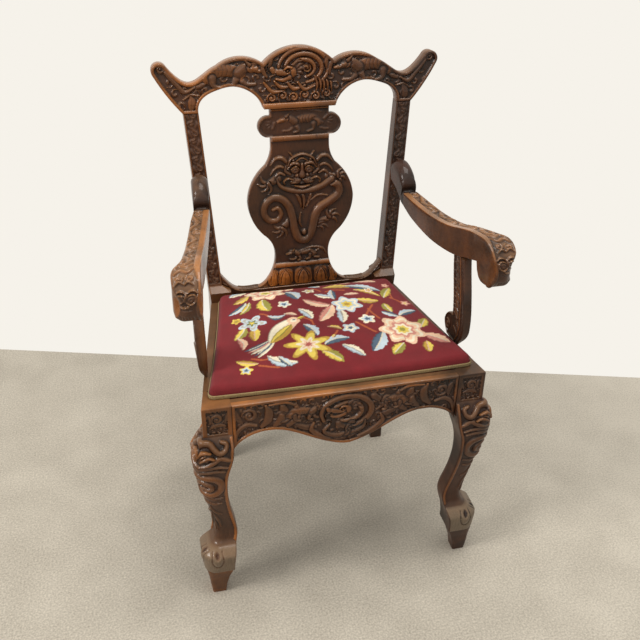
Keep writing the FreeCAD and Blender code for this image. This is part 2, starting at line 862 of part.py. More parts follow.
# Arms: a plan outline and a side outline sawn through one thick board
def arm_inner(y):
    """Inner side of the right arm in plan at a distance behind the front rail."""
    far = s.back_setback - 42
    bend = 4.0 * math.sin(math.pi * min(max(y / far, 0), 1))
    return arm_inner_front - (arm_inner_front - s.arm_inner_rear - 6) * y / far + bend


def arm():
    base = s.seat_height
    front = -s.arm_front
    tip_y, _ = on_rake(arm_knuckle_top, 0)
    roll_top = base + s.arm_top
    dip = base + arm_dip
    under = base + arm_under
    mid_y = front + s.roll_depth / 2
    reach = s.back_setback
    knuckle = base + arm_knuckle_top
    low_y, low_z = on_rake(arm_dip + 15, 0)
    high_y, high_z = on_rake(arm_knuckle_top - 8, 0)
    top = [
        (front, roll_top - 55),
        (front + 1, roll_top - 35),
        (front + 12, roll_top - 15),
        (mid_y + 15, roll_top),
        (0.264 * reach, dip + 26),
        (0.428 * reach, dip + 8),
        (0.594 * reach, dip),
        (0.766 * reach, dip + 1),
        (reach - 42, dip + 9),
    ]
    knuckle_arc = arc(top[-1], (reach - 27, knuckle - 19), (reach + 7, knuckle))
    bottom = [
        (low_y, low_z),
        (reach - 14, dip + 3),
        (reach - 34, dip - 12),
        (0.766 * reach, under + 12),
        (0.542 * reach, under),
        (0.37 * reach, under + 6),
        (front + s.roll_depth + 27, under + 25),
        (front + s.roll_depth, under + 31),
    ]
    side_edges = [
        spline(top),
        knuckle_arc,
        line((reach + 7, knuckle), (high_y, high_z)),
        line((high_y, high_z), (low_y, low_z)),
        spline(bottom),
        arc(bottom[-1], (mid_y, roll_top - s.roll_height), (front, roll_top - 55)),
    ]
    stations = [0.185 * reach, 0.343 * reach, 0.528 * reach, 0.713 * reach, reach - 42]
    inner = [(arm_inner(y), y) for y in stations]
    wide = s.arm_width
    outer = [(x + wide - (3 if y > 0.8 * reach else 0), y) for x, y in inner]
    roll_in = arm_inner_front
    roll_out = roll_in + s.roll_width
    rear = tip_y + 4
    plan_edges = [
        spline([(roll_in, 14)] + inner),
        line(inner[-1], (s.arm_inner_rear, rear)),
        line((s.arm_inner_rear, rear), (outer[-1][0] - 2, rear)),
        line((outer[-1][0] - 2, rear), outer[-1]),
        spline(list(reversed(outer)) + [(roll_out - 4, 44), (roll_out, 14)]),
        arc((roll_out, 14), (roll_out - 6, front), (roll_out - 18, front - 4)),
        line((roll_out - 18, front - 4), (roll_in + 10, front - 4)),
        arc((roll_in + 10, front - 4), (roll_in + 3, front + 2), (roll_in, 14)),
    ]
    side_sawn = prism("arm_side_sawn", side_edges, SIDE, (0, 0, 0), (1, 0, 0), 2 * front_half)
    plan_sawn = prism("arm_plan_sawn", plan_edges, PLAN, (0, 0, 0), (0, 0, 1), 2 * s.seat_height)
    # seen from the front, the rolled end is rounded below and the knuckle above
    low = roll_top - s.roll_height
    r = 20.0
    inside = s.arm_inner_rear - 2
    neck = s.arm_inner_rear + s.arm_width - 3
    front_edges = [
        line((inside, low + r), (roll_in, low + r)),
        arc((roll_in, low + r), (roll_in + 0.3 * r, low + 0.3 * r), (roll_in + r, low)),
        line((roll_in + r, low), (roll_out - r, low)),
        arc((roll_out - r, low), (roll_out - 0.3 * r, low + 0.3 * r), (roll_out, low + r)),
        line((roll_out, low + r), (roll_out, roll_top - 8)),
        arc((roll_out, roll_top - 8), (roll_out - 2.5, roll_top - 2), (roll_out - 8, roll_top + 1)),
        line((roll_out - 8, roll_top + 1), (neck, roll_top + 1)),
        arc((neck, roll_top + 1), (neck - 3.5, knuckle - 7), (neck - 12, knuckle)),
        line((neck - 12, knuckle), (s.arm_inner_rear + 10, knuckle)),
        arc((s.arm_inner_rear + 10, knuckle), (s.arm_inner_rear + 2, knuckle - 4), (inside, knuckle - 14)),
        line((inside, knuckle - 14), (inside, low + r)),
    ]
    start = (0, 2 * front, 0)
    front_sawn = prism("arm_front_sawn", front_edges, FRONT, start, (0, 1, 0), 2 * s.back_setback)
    blank = common("arm_blank", common("arm_twice_sawn", side_sawn, plan_sawn), front_sawn)
    joined = fuse("arm_joined", cut("arm_shaped", blank, support_head("arm_mortise", True)),
                  arm_tenon("arm_tenon", False))
    return cut("arm_whole", joined, arm_screw_hole("arm_screw_hole"))


arm_joint_height = arm_dip + 37


def arm_tenon(name, mortise):
    """The tenon that lets the arm into the post's face."""
    gap = s.joint_gap if mortise else 0
    x = post_inner(arm_joint_height) + s.post_face / 2
    return box(
        name,
        (12 + 2 * gap, 14 + gap, 20 + 2 * gap),
        (x - 6 - gap, -2 if not mortise else -gap, arm_joint_height - 10 - gap),
        pivot=raked,
    )


def arm_screw_hole(name):
    x = post_inner(arm_joint_height) + s.post_face / 2
    start = raked.multVec(Vector(x, s.post_depth_seat, arm_joint_height))
    direction = raked.Rotation.multVec(Vector(0, -1, 0))
    hole = stud(name, grown("Sizes.screw_radius", "joint_gap / 2"), 64, start, direction)
    head = stud(name + "_head", grown("Sizes.screw_head_radius", "joint_gap / 2"), 14.2, start, direction)
    return fuse(name + "_stepped", hole, head)


def arm_screw():
    """The screw that draws the arm to the post, its head sunk in the post's back."""
    x = post_inner(arm_joint_height) + s.post_face / 2
    seat = raked.multVec(Vector(x, s.post_depth_seat - 14.2, arm_joint_height))
    return wood_screw("arm_screw", seat, raked.Rotation.multVec(Vector(0, -1, 0)))


# Arm supports: a board that leans back as it rises, with a rounded toe and a scroll behind
def support():
    base = s.seat_height
    foot = s.support_foot_front
    top = s.support_top_front
    deep = s.support_depth
    tall = arm_under
    front = [
        (foot + 0.425 * deep, base),
        (foot + 0.32 * deep, base + 0.045 * tall),
        (foot + 0.085 * deep, base + 0.135 * tall),
        (foot - 0.02 * deep, base + 0.27 * tall),
        (foot + 0.105 * deep, base + 0.585 * tall),
        (foot + 0.405 * deep, base + 0.87 * tall),
        (top, base + 1.045 * tall),
    ]
    r = s.support_scroll
    scroll_y = foot + 1.447 * deep
    scroll_z = base + 1.444 * r
    rear = [
        (top + deep, base + 1.028 * tall),
        (top + 0.787 * deep, base + 0.73 * tall),
        (foot + 1.128 * deep, base + 0.478 * tall),
        (foot + 1.043 * deep, base + 0.315 * tall),
    ]
    edges = [
        spline(front),
        line(front[-1], rear[0]),
        spline(rear),
        arc(rear[-1], (scroll_y + 0.7 * r, scroll_z + 0.72 * r), (scroll_y + r, scroll_z)),
        arc((scroll_y + r, scroll_z), (scroll_y + 0.7 * r, scroll_z - 0.71 * r), (scroll_y, base)),
        line((scroll_y, base), front[0]),
    ]
    inner_face = (support_inner, 0, 0)
    blank = prism("support_blank", edges, SIDE, inner_face, (1, 0, 0), "Sizes.support_thickness")
    over = support_inner + s.support_thickness
    rim = side_rail_outer(foot + 40)
    under_cut = prism(
        "support_under_cut",
        [
            arc((over, base + 42), (over - 2.5, base + 16), (rim, base)),
            line((rim, base), (over + 9, base - 1)),
            line((over + 9, base - 1), (over, base + 42)),
        ],
        FRONT,
        (0, 0, 0),
        (0, 1, 0),
        s.back_setback,
    )
    # the head is scribed to the arm's underside
    shaped = cut("support_shaped", blank, under_cut, doc.getObject("arm_side_sawn"))
    return fuse("support_whole", shaped, support_foot("support_foot_tenon", False),
                support_head("support_head_tenon", False))


def support_foot(name, mortise):
    gap = s.joint_gap if mortise else 0
    return box(
        name,
        (3.8 + 2 * gap, 12 + 2 * gap, 22 + gap + (0 if not mortise else 1)),
        (support_inner + 0.8 - gap, s.support_foot_front + 21 - gap, s.seat_height - 22 - gap),
    )


def support_head(name, mortise):
    gap = s.joint_gap if mortise else 0
    middle = support_inner + s.support_thickness / 2
    return box(
        name,
        (10 + 2 * gap, 24 + 2 * gap, 30 + gap),
        (middle - 5 - gap, s.support_top_front + 12 - gap, s.seat_height + arm_under - 6),
    )


# Glue blocks in the corners of the frame, each held by two screws
glue_z = rail_bottom + 14
back_rail_front = seat_back - 12


def glue_block(where):
    leg_length = s.glue_block_leg
    if where == "front":
        x = block_in - 0.3
        y = s.front_rail_thickness + 0.3
        high_y = s.block_side + 0.3
        marks = [
            (x - leg_length, y),
            (x, y),
            (x, high_y),
            (side_rail_inner(high_y) - 0.3, high_y),
            (side_rail_inner(high_y + leg_length) - 0.3, high_y + leg_length),
        ]
    else:
        y = back_rail_front - 0.3
        marks = [
            (side_rail_inner(y) - 0.3, y),
            (side_rail_inner(y) - 0.3 - leg_length, y),
            (side_rail_inner(y - leg_length) - 0.3, y - leg_length),
        ]
    blank = prism(where + "_glue_block_blank", closed(marks), PLAN, (0, 0, glue_z), (0, 0, 1),
                  "Sizes.glue_block_height")
    holes = [hole for place in glue_screw_marks() if place[0] == where for hole in glue_screw_hole(place)]
    return cut(where + "_glue_block_cut", blank, *holes)


def glue_screw_marks():
    """Corner, name, seat of the head and direction of each glue block screw on the right."""
    mid_z = glue_z + s.glue_block_height / 2
    reach = s.glue_block_leg / 2
    front_y = s.front_rail_thickness
    across = Vector(math.cos(math.radians(side_angle)), math.sin(math.radians(side_angle)), 0)
    side_y = s.block_side + reach - 4
    back_y = back_rail_front - reach + 2
    return [
        ("front", "front_rail", Vector(block_in - 16, front_y + 22, mid_z - 7), Vector(0, -1, 0)),
        ("front", "side_rail", Vector(side_rail_inner(side_y) - 22, side_y, mid_z + 7), across),
        ("back", "back_rail", Vector(side_rail_inner(back_y) - 24, back_rail_front - 20, mid_z - 7),
         Vector(0, 1, 0)),
        ("back", "side_rail", Vector(side_rail_inner(back_y) - 20, back_y, mid_z + 7), across),
    ]


def glue_screw_hole(place):
    where, into, seat, direction = place
    name = "%s_%s_glue_hole" % (where, into)
    shank = stud(name, grown("Sizes.screw_radius", "joint_gap / 2"), "Sizes.screw_length + Sizes.joint_gap",
                seat, direction)
    wide = grown("Sizes.screw_head_radius", "joint_gap / 2")
    mouth = stud(name + "_mouth", wide, 60, seat, direction * -1)
    return [shank, mouth]


def rail_screw_holes(into, both_sides):
    """Holes that the glue block screws need in a rail, on the right or on both sides."""
    holes = []
    for where, rail, seat, direction in glue_screw_marks():
        if rail != into:
            continue
        hole = stud("%s_%s_screw_hole" % (where, rail), grown("Sizes.screw_radius", "joint_gap / 2"),
                   "Sizes.screw_length + Sizes.joint_gap", seat, direction)
        holes.append(hole)
        if both_sides:
            holes.append(mirror(hole.Name + "_left", hole))
    return holes


def wood_screw(name, seat, direction):
    """A flat-headed screw: the head stands behind the seat, the shank runs along the direction."""
    head = stud(name + "_head", "Sizes.screw_head_radius", 3.5, seat - direction * 3.5, direction)
    shank = stud(name + "_shank", "Sizes.screw_radius", "Sizes.screw_length", seat, direction)
    return fuse(name, head, shank)


def glue_screws():
    return [wood_screw("glue_screw_%d" % i, seat, direction)
            for i, (where, rail, seat, direction) in enumerate(glue_screw_marks())]


# Drop-in seat
frame_bottom = rebate_floor + s.seat_rest_gap
frame_top = frame_bottom + s.seat_frame_thickness
frame_inset = s.cover_thickness + s.soft_gap


def seat_half(y, inset):
    """Half the seat's width at a distance behind the front rail's face."""
    side = inset * math.sqrt(1 + side_slope ** 2)
    return seat_front_half - side - side_slope * (y - s.front_ledge)


def seat_frame():
    """Front and back rails across the whole width, side rails between them."""
    thick = "Sizes.seat_frame_thickness"
    width = s.seat_frame_width
    front = s.front_ledge + frame_inset
    back = seat_back - frame_inset
    far = seat_front_half + 10
    inner = frame_inset + width
    zones = {
        "front": [(-far, front - 2 * s.front_bow), (far, front - 2 * s.front_bow), (far, front + width),
                  (-far, front + width)],
        "back": [(-far, back - width), (far, back - width), (far, back + 5), (-far, back + 5)],
        "right": [(seat_half(front + width, inner), front + width), (far, front + width),
                  (far, back - width), (seat_half(back - width, inner), back - width)],
    }
    rails = {}
    for name, zone in zones.items():
        base = (0, 0, frame_bottom)
        plate = prism("seat_plate_" + name, seat_outline(frame_inset), PLAN, base, (0, 0, 1), thick)
        area = prism("seat_zone_" + name, closed(zone), PLAN, base, (0, 0, 1), thick)
        rail = common("seat_frame_%s_blank" % name, plate, area)
        holes = [tack_shank("tack_hole_%s_%d" % (name, i), x, y, s.joint_gap)
                 for i, (x, y) in enumerate(tack_places(name))]
        rails[name] = cut("seat_frame_%s_cut" % name, rail, *holes)
    return rails


def tack_places(where):
    """Places of the cover tacks under one rail of the seat frame."""
    row = frame_inset + 26
    front = s.front_ledge + row
    back = seat_back - row
    if where == "front":
        return [(0.36 * step * seat_front_half, front) for step in range(-2, 3)]
    if where == "back":
        return [(0.215 * step * seat_back_half, back) for step in range(-3, 4, 2)]
    rows = [s.front_ledge + share * s.seat_depth for share in (0.28, 0.5, 0.72)]
    return [(seat_half(y, row), y) for y in rows]


def tack_shank(name, x, y, gap=0.0):
    """The square shank of a cut tack, or the hole for it."""
    side = 1.6 + gap
    return box(name, (side, side, s.tack_length + gap), (x - side / 2, y - side / 2, frame_bottom))


def tack(name, x, y):
    """A cut tack that holds the cover under the seat frame: a faceted head and a square shank."""
    head = doc.addObject("Part::Prism", name + "_head")
    head.Polygon = 8
    head.setExpression("Circumradius", "Sizes.tack_radius")
    head.Height = 0.8
    head.Placement = FreeCAD.Placement(Vector(x, y, frame_bottom - 0.8), Rotation())
    return fuse(name, head, tack_shank(name + "_shank", x, y))


def cover_tacks():
    right = [tack("tack_right_%d" % i, x, y) for i, (x, y) in enumerate(tack_places("right"))]
    middle = [tack("tack_%s_%d" % (where, i), x, y)
              for where in ("front", "back") for i, (x, y) in enumerate(tack_places(where))]
    return on_both_sides("tack_group", right, middle)


def webbing():
    """Woven straps over the seat frame: two from front to back and two across."""
    front = s.front_ledge + frame_inset + 6
    back = seat_back - frame_inset - 6
    z = frame_top
    size = ("Sizes.web_width", back - front, "Sizes.web_thickness")
    lengthwise = [box("web_long_%d" % i, size, (x - s.web_width / 2, front, z))
                  for i, x in enumerate((-0.34 * seat_front_half, 0.34 * seat_front_half))]
    crosswise = []
    for i, y in enumerate((s.front_ledge + 0.365 * s.seat_depth, s.front_ledge + 0.65 * s.seat_depth)):
        half = seat_half(y + s.web_width / 2, frame_inset) - 5
        crosswise.append(box("web_cross_%d" % i, (2 * half, "Sizes.web_width", "Sizes.web_thickness"),
                             (-half, y - s.web_width / 2, z + s.web_thickness)))
    return lengthwise + crosswise


def vault(name, start, end, inset, level):
    """The space over one side's profile: a soft edge, then the long rise to the crown."""
    crown = s.cushion_crown - s.cushion_side
    along = (end - start).normalize()
    inward = Vector(-along.y, along.x, 0)
    outside = -s.draw_in - s.front_bow
    high = level + crown + 1
    rounds = [
        (inset, level - 8),
        (inset + 5.5, level + 0.04 * crown),
        (inset + 19, level + 0.34 * crown),
        (inset + 78, level + 0.8 * crown),
        (inset + 150, level + crown),
    ]
    profile = arcs(rounds) + chain([
        rounds[-1],
        (inset + 150, high),
        (outside, high),
        (outside, level - 11),
        rounds[0],
    ])
    base = start - along * 60
    across = Rotation(inward, Vector(0, 0, 1), along, "XYZ")
    return prism(name, profile, across, base, along, end.sub(start).Length + 120)


def crowned(name, inset, bottom, lowered):
    """A cushion's form: the seat's outline drawn upward under a vault from each of its sides."""
    level = s.seat_height + s.cushion_side - lowered
    tall = level + s.cushion_crown - s.cushion_side - bottom
    walls = prism(name + "_walls", seat_outline(inset), PLAN, (0, 0, bottom), (0, 0, 1), tall)
    corners = [Vector(x, y, 0) for x, y in seat_corners(0)]
    bow = Vector(0, s.front_ledge - s.front_bow, 0)
    rounds = [corners[0], bow] + corners[1:]
    vaults = [vault("%s_vault_%d" % (name, i), corner, rounds[(i + 1) % 5], inset, level)
              for i, corner in enumerate(rounds)]
    return cut(name, walls, *vaults)


def cover():
    """The needlepoint cover: a skin over the stuffing whose skirt hangs round the seat frame."""
    outside = crowned("cover_outside", 0.0, frame_bottom + 1, 0.0)
    wall = s.cover_thickness
    inside = crowned("cover_inside", wall, frame_bottom, wall)
    return cut("cover_shell", outside, inside)


def stuffing():
    gap = s.cover_thickness + s.soft_gap
    return crowned("stuffing_form", gap, frame_top + 2 * s.web_thickness + s.soft_gap, gap)


def braid():
    """The braid that borders the cover, standing on the rails' edge level."""
    outer = prism("braid_outer", seat_outline(-s.braid_thickness - s.soft_gap - 0.7), PLAN,
                  (0, 0, s.seat_height + 0.6), (0, 0, 1), "Sizes.braid_height")
    inner = prism("braid_inner", seat_outline(-s.soft_gap - 0.7), PLAN, (0, 0, s.seat_height), (0, 0, 1),
                  "Sizes.braid_height + 2")
    return cut("braid_ring", outer, inner)


# Build and name the sub-parts
keep_pair("front_leg", leg())
keep("front_seat_rail", front_rail())
keep_pair("seat_rail", side_rail())
keep("back_seat_rail", back_rail())
keep_pair("rear_post", post())
keep("crest_rail", crest())
keep("splat", splat())
keep("lower_back_rail", shoe())
keep_pair("arm", arm())
keep_pair("arm_support", support())
keep_pair("front_glue_block", glue_block("front"))
keep_pair("back_glue_block", glue_block("back"))

keep("glue_block_screws", on_both_sides("glue_screw_group", glue_screws()))
keep("arm_screws", on_both_sides("arm_screw_group", [arm_screw()]))

seat_rails = seat_frame()
keep("seat_frame_front", seat_rails["front"])
keep("seat_frame_back", seat_rails["back"])
keep_pair("seat_frame_side", seat_rails["right"])
keep("seat_webbing", group("web_group", webbing()))
keep("seat_stuffing", stuffing())
keep("needlepoint_cover", cover())
keep("cover_braid", braid())
keep("cover_tacks", cover_tacks())

doc.recompute()

# Checks, then one STEP file for each sub-part
for thing in doc.Objects:
    if "Invalid" in thing.State or "Error" in thing.State:
        raise RuntimeError("%s did not compute" % thing.Label)
for name, body in sub_parts.items():
    if body.Shape.isNull() or not body.Shape.isValid():
        raise RuntimeError("%s has no valid shape" % name)

os.makedirs("parts", exist_ok=True)
for name, body in sub_parts.items():
    body.Shape.exportStep("parts/%s.step" % name)
    print("%-24s %d solid(s) %10.0f mm3" % (name, len(body.Shape.Solids), body.Shape.Volume))
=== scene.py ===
import math
import bmesh
import bpy
import numpy as np
from mathutils import Matrix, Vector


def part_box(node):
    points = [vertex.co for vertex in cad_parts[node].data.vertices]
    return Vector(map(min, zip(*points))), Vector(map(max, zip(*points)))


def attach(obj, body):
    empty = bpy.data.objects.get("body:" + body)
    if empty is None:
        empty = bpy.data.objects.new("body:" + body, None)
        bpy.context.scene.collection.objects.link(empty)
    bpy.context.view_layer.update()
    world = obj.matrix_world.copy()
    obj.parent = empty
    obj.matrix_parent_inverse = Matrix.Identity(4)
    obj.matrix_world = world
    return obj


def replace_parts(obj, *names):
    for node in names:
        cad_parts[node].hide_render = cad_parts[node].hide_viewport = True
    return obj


# Carved hardwood armchair with a drop-in needlepoint seat.
# The chair's frame is in metres. Carving is drawn in millimetres on the face that carries it.
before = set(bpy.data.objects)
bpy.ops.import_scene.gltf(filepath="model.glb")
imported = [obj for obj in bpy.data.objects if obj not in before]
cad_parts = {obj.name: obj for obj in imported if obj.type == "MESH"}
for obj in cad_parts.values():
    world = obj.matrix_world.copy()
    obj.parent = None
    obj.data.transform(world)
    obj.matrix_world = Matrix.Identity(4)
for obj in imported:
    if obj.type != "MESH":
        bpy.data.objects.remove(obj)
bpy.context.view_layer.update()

MM = 0.001
# spacing of the carving's grid
PITCH = 1.35
# y of the front rail's face and height of the seat rails
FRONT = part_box("front_seat_rail")[0].y / MM
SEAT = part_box("front_seat_rail")[1].z / MM
# the back's face at seat height behind the front rail, and its lean
SETBACK = 378.5
RAKE = math.radians(4.33)
# x of the inner face of the front leg's block, and the block's side
BLOCK_IN = 213.5
BLOCK = 54.0


def unit(values):
    """Values cut off below 0 and above 1."""
    return np.clip(values, 0, 1)


def arch(share):
    """Height of a half circle over a share of its radius: the root of 1 - share squared, and 0 beyond it."""
    return np.sqrt(unit(1 - share ** 2))


# Working planes
class Face:
    """A flat plane: u runs right, v runs up and d runs behind the face, all in millimetres."""

    def __init__(self, origin, right, up, inward):
        self.origin = np.array(origin, float)
        self.axes = np.array([right, up, inward], float)

    def place(self, u, v, d):
        """Metres in the chair's frame: origin + u * right + v * up + d * inward."""
        return (self.origin + np.stack([u, v, d], -1) @ self.axes) * MM

    def flat(self, spots):
        """The other way: (u, v, d) of places in metres."""
        return (spots / MM - self.origin) @ self.axes.T


UPRIGHT = Face((0, FRONT, 0), (1, 0, 0), (0, 0, 1), (0, 1, 0))
LEANING = Face((0, FRONT + SETBACK, SEAT), (1, 0, 0), (0, math.sin(RAKE), math.cos(RAKE)),
               (0, math.cos(RAKE), -math.sin(RAKE)))
LEVEL = Face((0, FRONT, SEAT), (1, 0, 0), (0, 1, 0), (0, 0, -1))


def side_face(x):
    """A plane across the chair: u runs to the back, d outward."""
    return Face((x, FRONT, 0), (0, 1, 0), (0, 0, 1), (1, 0, 0))


def triangles(node):
    """Every triangle of a CAD node, in metres."""
    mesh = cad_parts[node].data
    spots = np.zeros(len(mesh.vertices) * 3)
    mesh.vertices.foreach_get("co", spots)
    order = np.zeros(len(mesh.loops), int)
    mesh.loops.foreach_get("vertex_index", order)
    return spots.reshape(-1, 3)[order].reshape(-1, 3, 3)


def outline_of(node, face, depth):
    """The outline of a CAD node's flat face at a depth: the edges that only one of its triangles has."""
    spots = face.flat(triangles(node))
    flat = np.round(spots[np.abs(spots[..., 2] - depth).max(1) < 0.06][..., :2] * 20) / 20
    keys, number = np.unique(flat.reshape(-1, 2), axis=0, return_inverse=True)
    sides = np.sort(number.reshape(-1, 3)[:, [0, 1, 1, 2, 2, 0]].reshape(-1, 2), axis=1)
    pairs, count = np.unique(sides, axis=0, return_counts=True)
    return keys[pairs[(count == 1) & (pairs[:, 0] != pairs[:, 1])]]


def to_outline(spots, edges):
    """Distance from each point to the nearest edge, above zero inside, and the nearest place on it."""
    start, run = edges[:, 0], edges[:, 1] - edges[:, 0]
    rise = np.where(run[:, 1] == 0, 1.0, run[:, 1])
    reach, nearest = np.empty(len(spots)), np.empty_like(spots)
    for part in np.array_split(np.arange(len(spots)), len(spots) // 6000 + 1):
        p = spots[part, None]
        share = unit(((p - start) * run).sum(-1) / (run ** 2).sum(-1))
        foot = start + share[..., None] * run
        gap = np.linalg.norm(p - foot, axis=-1)
        best = gap.argmin(1)
        rows = np.arange(len(part))
        spans = (start[:, 1] <= p[..., 1]) != (edges[:, 1, 1] <= p[..., 1])
        across = start[:, 0] + (p[..., 1] - start[:, 1]) * run[:, 0] / rise
        inside = (spans & (across > p[..., 0])).sum(1) % 2 == 1
        reach[part] = np.where(inside, 1, -1) * gap[rows, best]
        nearest[part] = foot[rows, best]
    return reach, nearest


def softened(field, radius):
    """A field averaged over a square of the radius, twice."""
    steps = max(int(round(radius)), 1)
    for _ in range(2):
        for axis in (0, 1):
            field = sum(np.roll(field, k, axis) for k in range(-steps, steps + 1)) / (2 * steps + 1)
    return field


# Lines to carve along
def smooth(points, steps=5):
    """A Catmull-Rom curve through the points."""
    p = np.array(points, float)
    if len(p) < 3:
        p = np.array([p[0], (p[0] + p[-1]) / 2, p[-1]])
    p = np.vstack([2 * p[0] - p[1], p, 2 * p[-1] - p[-2]])
    t = np.linspace(0, 1, steps, endpoint=False)[None, :, None]
    a, b, c, d = (p[i:len(p) - 3 + i, None] for i in range(4))
    line = (2 * b + (c - a) * t + (2 * a - 5 * b + 4 * c - d) * t ** 2 + (3 * b - a - 3 * c + d) * t ** 3) / 2
    return np.vstack([line.reshape(-1, p.shape[1]), p[-2]])


def lengths(line):
    """The length along a line up to each of its points."""
    return np.r_[0, np.cumsum(np.hypot(*np.diff(line, axis=0).T))]


def spiral(centre, radius, start, turns, inner=0.15):
    """A spiral that winds in from a radius; angles in turns, above zero anticlockwise."""
    t = np.linspace(0, 1, max(int(abs(turns) * 12), 5))
    r = radius * (1 - (1 - inner) * t)
    angle = 2 * np.pi * (start + turns * t)
    return np.stack([centre[0] + r * np.cos(angle), centre[1] + r * np.sin(angle)], -1)


def oval(centre, size, start, end, count):
    """Places along an oval from one angle to another, in degrees."""
    angle = np.radians(np.linspace(start, end, count))
    return np.stack([centre[0] + size[0] * np.cos(angle), centre[1] + size[1] * np.sin(angle)], -1)


def bow(start, end, sag):
    """An arc from start to end that bulges to the left of its run by sag, a share of its length."""
    a, b = np.array(start, float), np.array(end, float)
    side = np.array([a[1] - b[1], b[0] - a[0]]) * sag
    return [a, (3 * a + b) / 4 + 0.75 * side, (a + b) / 2 + side, (a + 3 * b) / 4 + 0.75 * side, b]


class Relief:
    """Carving on a rectangle: a rise in millimetres above the ground at each place of a grid."""

    def __init__(self, low, high, pitch=PITCH):
        self.pitch = pitch
        self.low = np.array(low, float)
        across = np.arange(low[0], high[0] + pitch, pitch)
        up = np.arange(low[1], high[1] + pitch, pitch)
        self.u, self.v = np.meshgrid(across, up)
        self.rise = np.zeros(self.u.shape)
        self.worn = np.zeros(self.u.shape)
        self.inset = np.full(self.u.shape, 99.0)

    def window(self, line, margin):
        """The part of the grid that lies within a margin of a line."""
        low = np.floor((line.min(0) - margin - self.low) / self.pitch).astype(int)
        high = np.ceil((line.max(0) + margin - self.low) / self.pitch).astype(int) + 1
        low, high = np.maximum(low, 0), np.maximum(high, 0)
        return slice(low[1], high[1]), slice(low[0], high[0])

    def along(self, line, half, margin):
        """For each grid place near a line: its gap, the line's half-width there and the share along it."""
        window = self.window(line, half.max() + margin)
        p = np.stack([self.u[window], self.v[window]], -1)[..., None, :]
        run = np.diff(line, axis=0)
        t = unit(((p - line[:-1]) * run).sum(-1) / np.maximum((run ** 2).sum(-1), 1e-6))
        gap = np.linalg.norm(p - line[:-1] - t[..., None] * run, axis=-1)
        wide = half[:-1] + t * np.diff(half)
        best = (gap - wide).argmin(-1)[..., None]
        length = lengths(line)
        where = length[:-1] + t * np.diff(length)
        picked = [np.take_along_axis(a, best, -1)[..., 0] for a in (gap, wide, where)]
        return window, *picked, length[-1]

    def set_in(self, window, dome, away, sink, worn):
        """Puts a form in: older ones under it and close beside it are cut down by the share sink."""
        margin = 1.3
        beside = np.exp(-(np.clip(away, 0, None) / margin) ** 2)
        self.rise[window] = np.maximum(self.rise[window] * (1 - sink * beside), dome)
        self.worn[window] = np.where(dome > 0, worn, self.worn[window])

    def ridge(self, points, width, height, sink=0.45, worn=0.0, scales=0.0):
        """A rounded ridge: height times the root of 1 - (gap / half-width) squared.

        Older forms beside it are cut down by the share sink, so the newer one stands clear.
        Scales of a size in millimetres cross the ridge where they are asked for.
        """
        line = smooth(points)
        share = np.linspace(0, 1, len(line))
        sizes = [np.interp(share, np.linspace(0, 1, np.size(a)), np.atleast_1d(a)) for a in (width, height)]
        window, gap, wide, where, length = self.along(line, sizes[0] / 2, 3)
        if gap.size == 0:
            return
        tall = np.interp(where / length, share, sizes[1])
        dome = tall * arch(gap / np.maximum(wide, 0.1))
        if scales:
            dome -= 0.35 * np.abs(np.sin(np.pi * (where / scales + 0.5 * (gap / scales) ** 2))) * (dome > 0)
        self.set_in(window, dome, gap - wide, sink, np.maximum(self.worn[window] * 0.3, worn))

    def groove(self, points, width, depth):
        """A cut whose depth falls with the square of the gap."""
        line = smooth(points)
        half = np.full(len(line), width / 2)
        window, gap, wide, _, _ = self.along(line, half, 2 * width)
        self.rise[window] -= depth * np.exp(-(gap / wide) ** 2)

    def boss(self, centre, size, height, turn=0.0, sink=0.5, worn=0.0):
        """A domed oval, its long side turned by an angle in degrees."""
        size = np.array(size, float) / 2
        reach = size.max() + 3
        window = self.window(np.array([centre], float), reach)
        c, s = math.cos(math.radians(turn)), math.sin(math.radians(turn))
        du, dv = self.u[window] - centre[0], self.v[window] - centre[1]
        r = np.hypot((c * du + s * dv) / size[0], (c * dv - s * du) / size[1])
        dome = height * arch(r)
        self.set_in(window, dome, (r - 1) * size.min(), sink, worn)

    def rim(self, width, height, worn=0.0):
        """A raised border of a width inside the outline."""
        edge = unit((width - self.inset) / 1.6)
        self.rise = np.maximum(self.rise, height * edge * edge * (3 - 2 * edge))
        self.worn = np.maximum(self.worn, worn * edge)

    def bead(self, middle, half, height, worn, where=True):
        """A round bead across: height times the root of 1 - (distance from its middle / half) squared."""
        band = arch((self.v - middle) / half) * where
        self.rise = np.where(band > 0, height * band, self.rise)
        self.worn = np.where(band > 0, worn, self.worn)

    def at(self, field, u, v):
        """A field read between the grid's places."""
        x = np.clip((u - self.low[0]) / self.pitch, 0, self.u.shape[1] - 1.001)
        y = np.clip((v - self.low[1]) / self.pitch, 0, self.u.shape[0] - 1.001)
        i, j = y.astype(int), x.astype(int)
        a, b = y - i, x - j
        return ((field[i, j] * (1 - b) + field[i, j + 1] * b) * (1 - a)
                + (field[i + 1, j] * (1 - b) + field[i + 1, j + 1] * b) * a)

    def marks(self, u, v, carved, hollow, worn):
        """The hollow and worn attributes at places of the relief, or fixed values where nothing is carved."""
        return {"hollow": np.where(carved, self.at(self.hollow(), u, v), hollow).ravel(),
                "worn": np.where(carved, self.at(self.worn, u, v), worn).ravel()}

    def hollow(self):
        """How far each place stands above or below its surroundings, in millimetres."""
        return self.rise - softened(self.rise, 3.5 / self.pitch)


# Carved forms
def leaf(r, base, tip, wide, tall=2.6, sag=0.12, worn=0.0):
    """A pointed leaf with a cut along its middle."""
    path = bow(base, tip, sag)
    r.ridge(path, (0.4 * wide, wide, 0.9 * wide, 0.6), (0.8 * tall, tall, 0.6 * tall), worn=worn)
    r.groove(path, 1.6, 0.9)


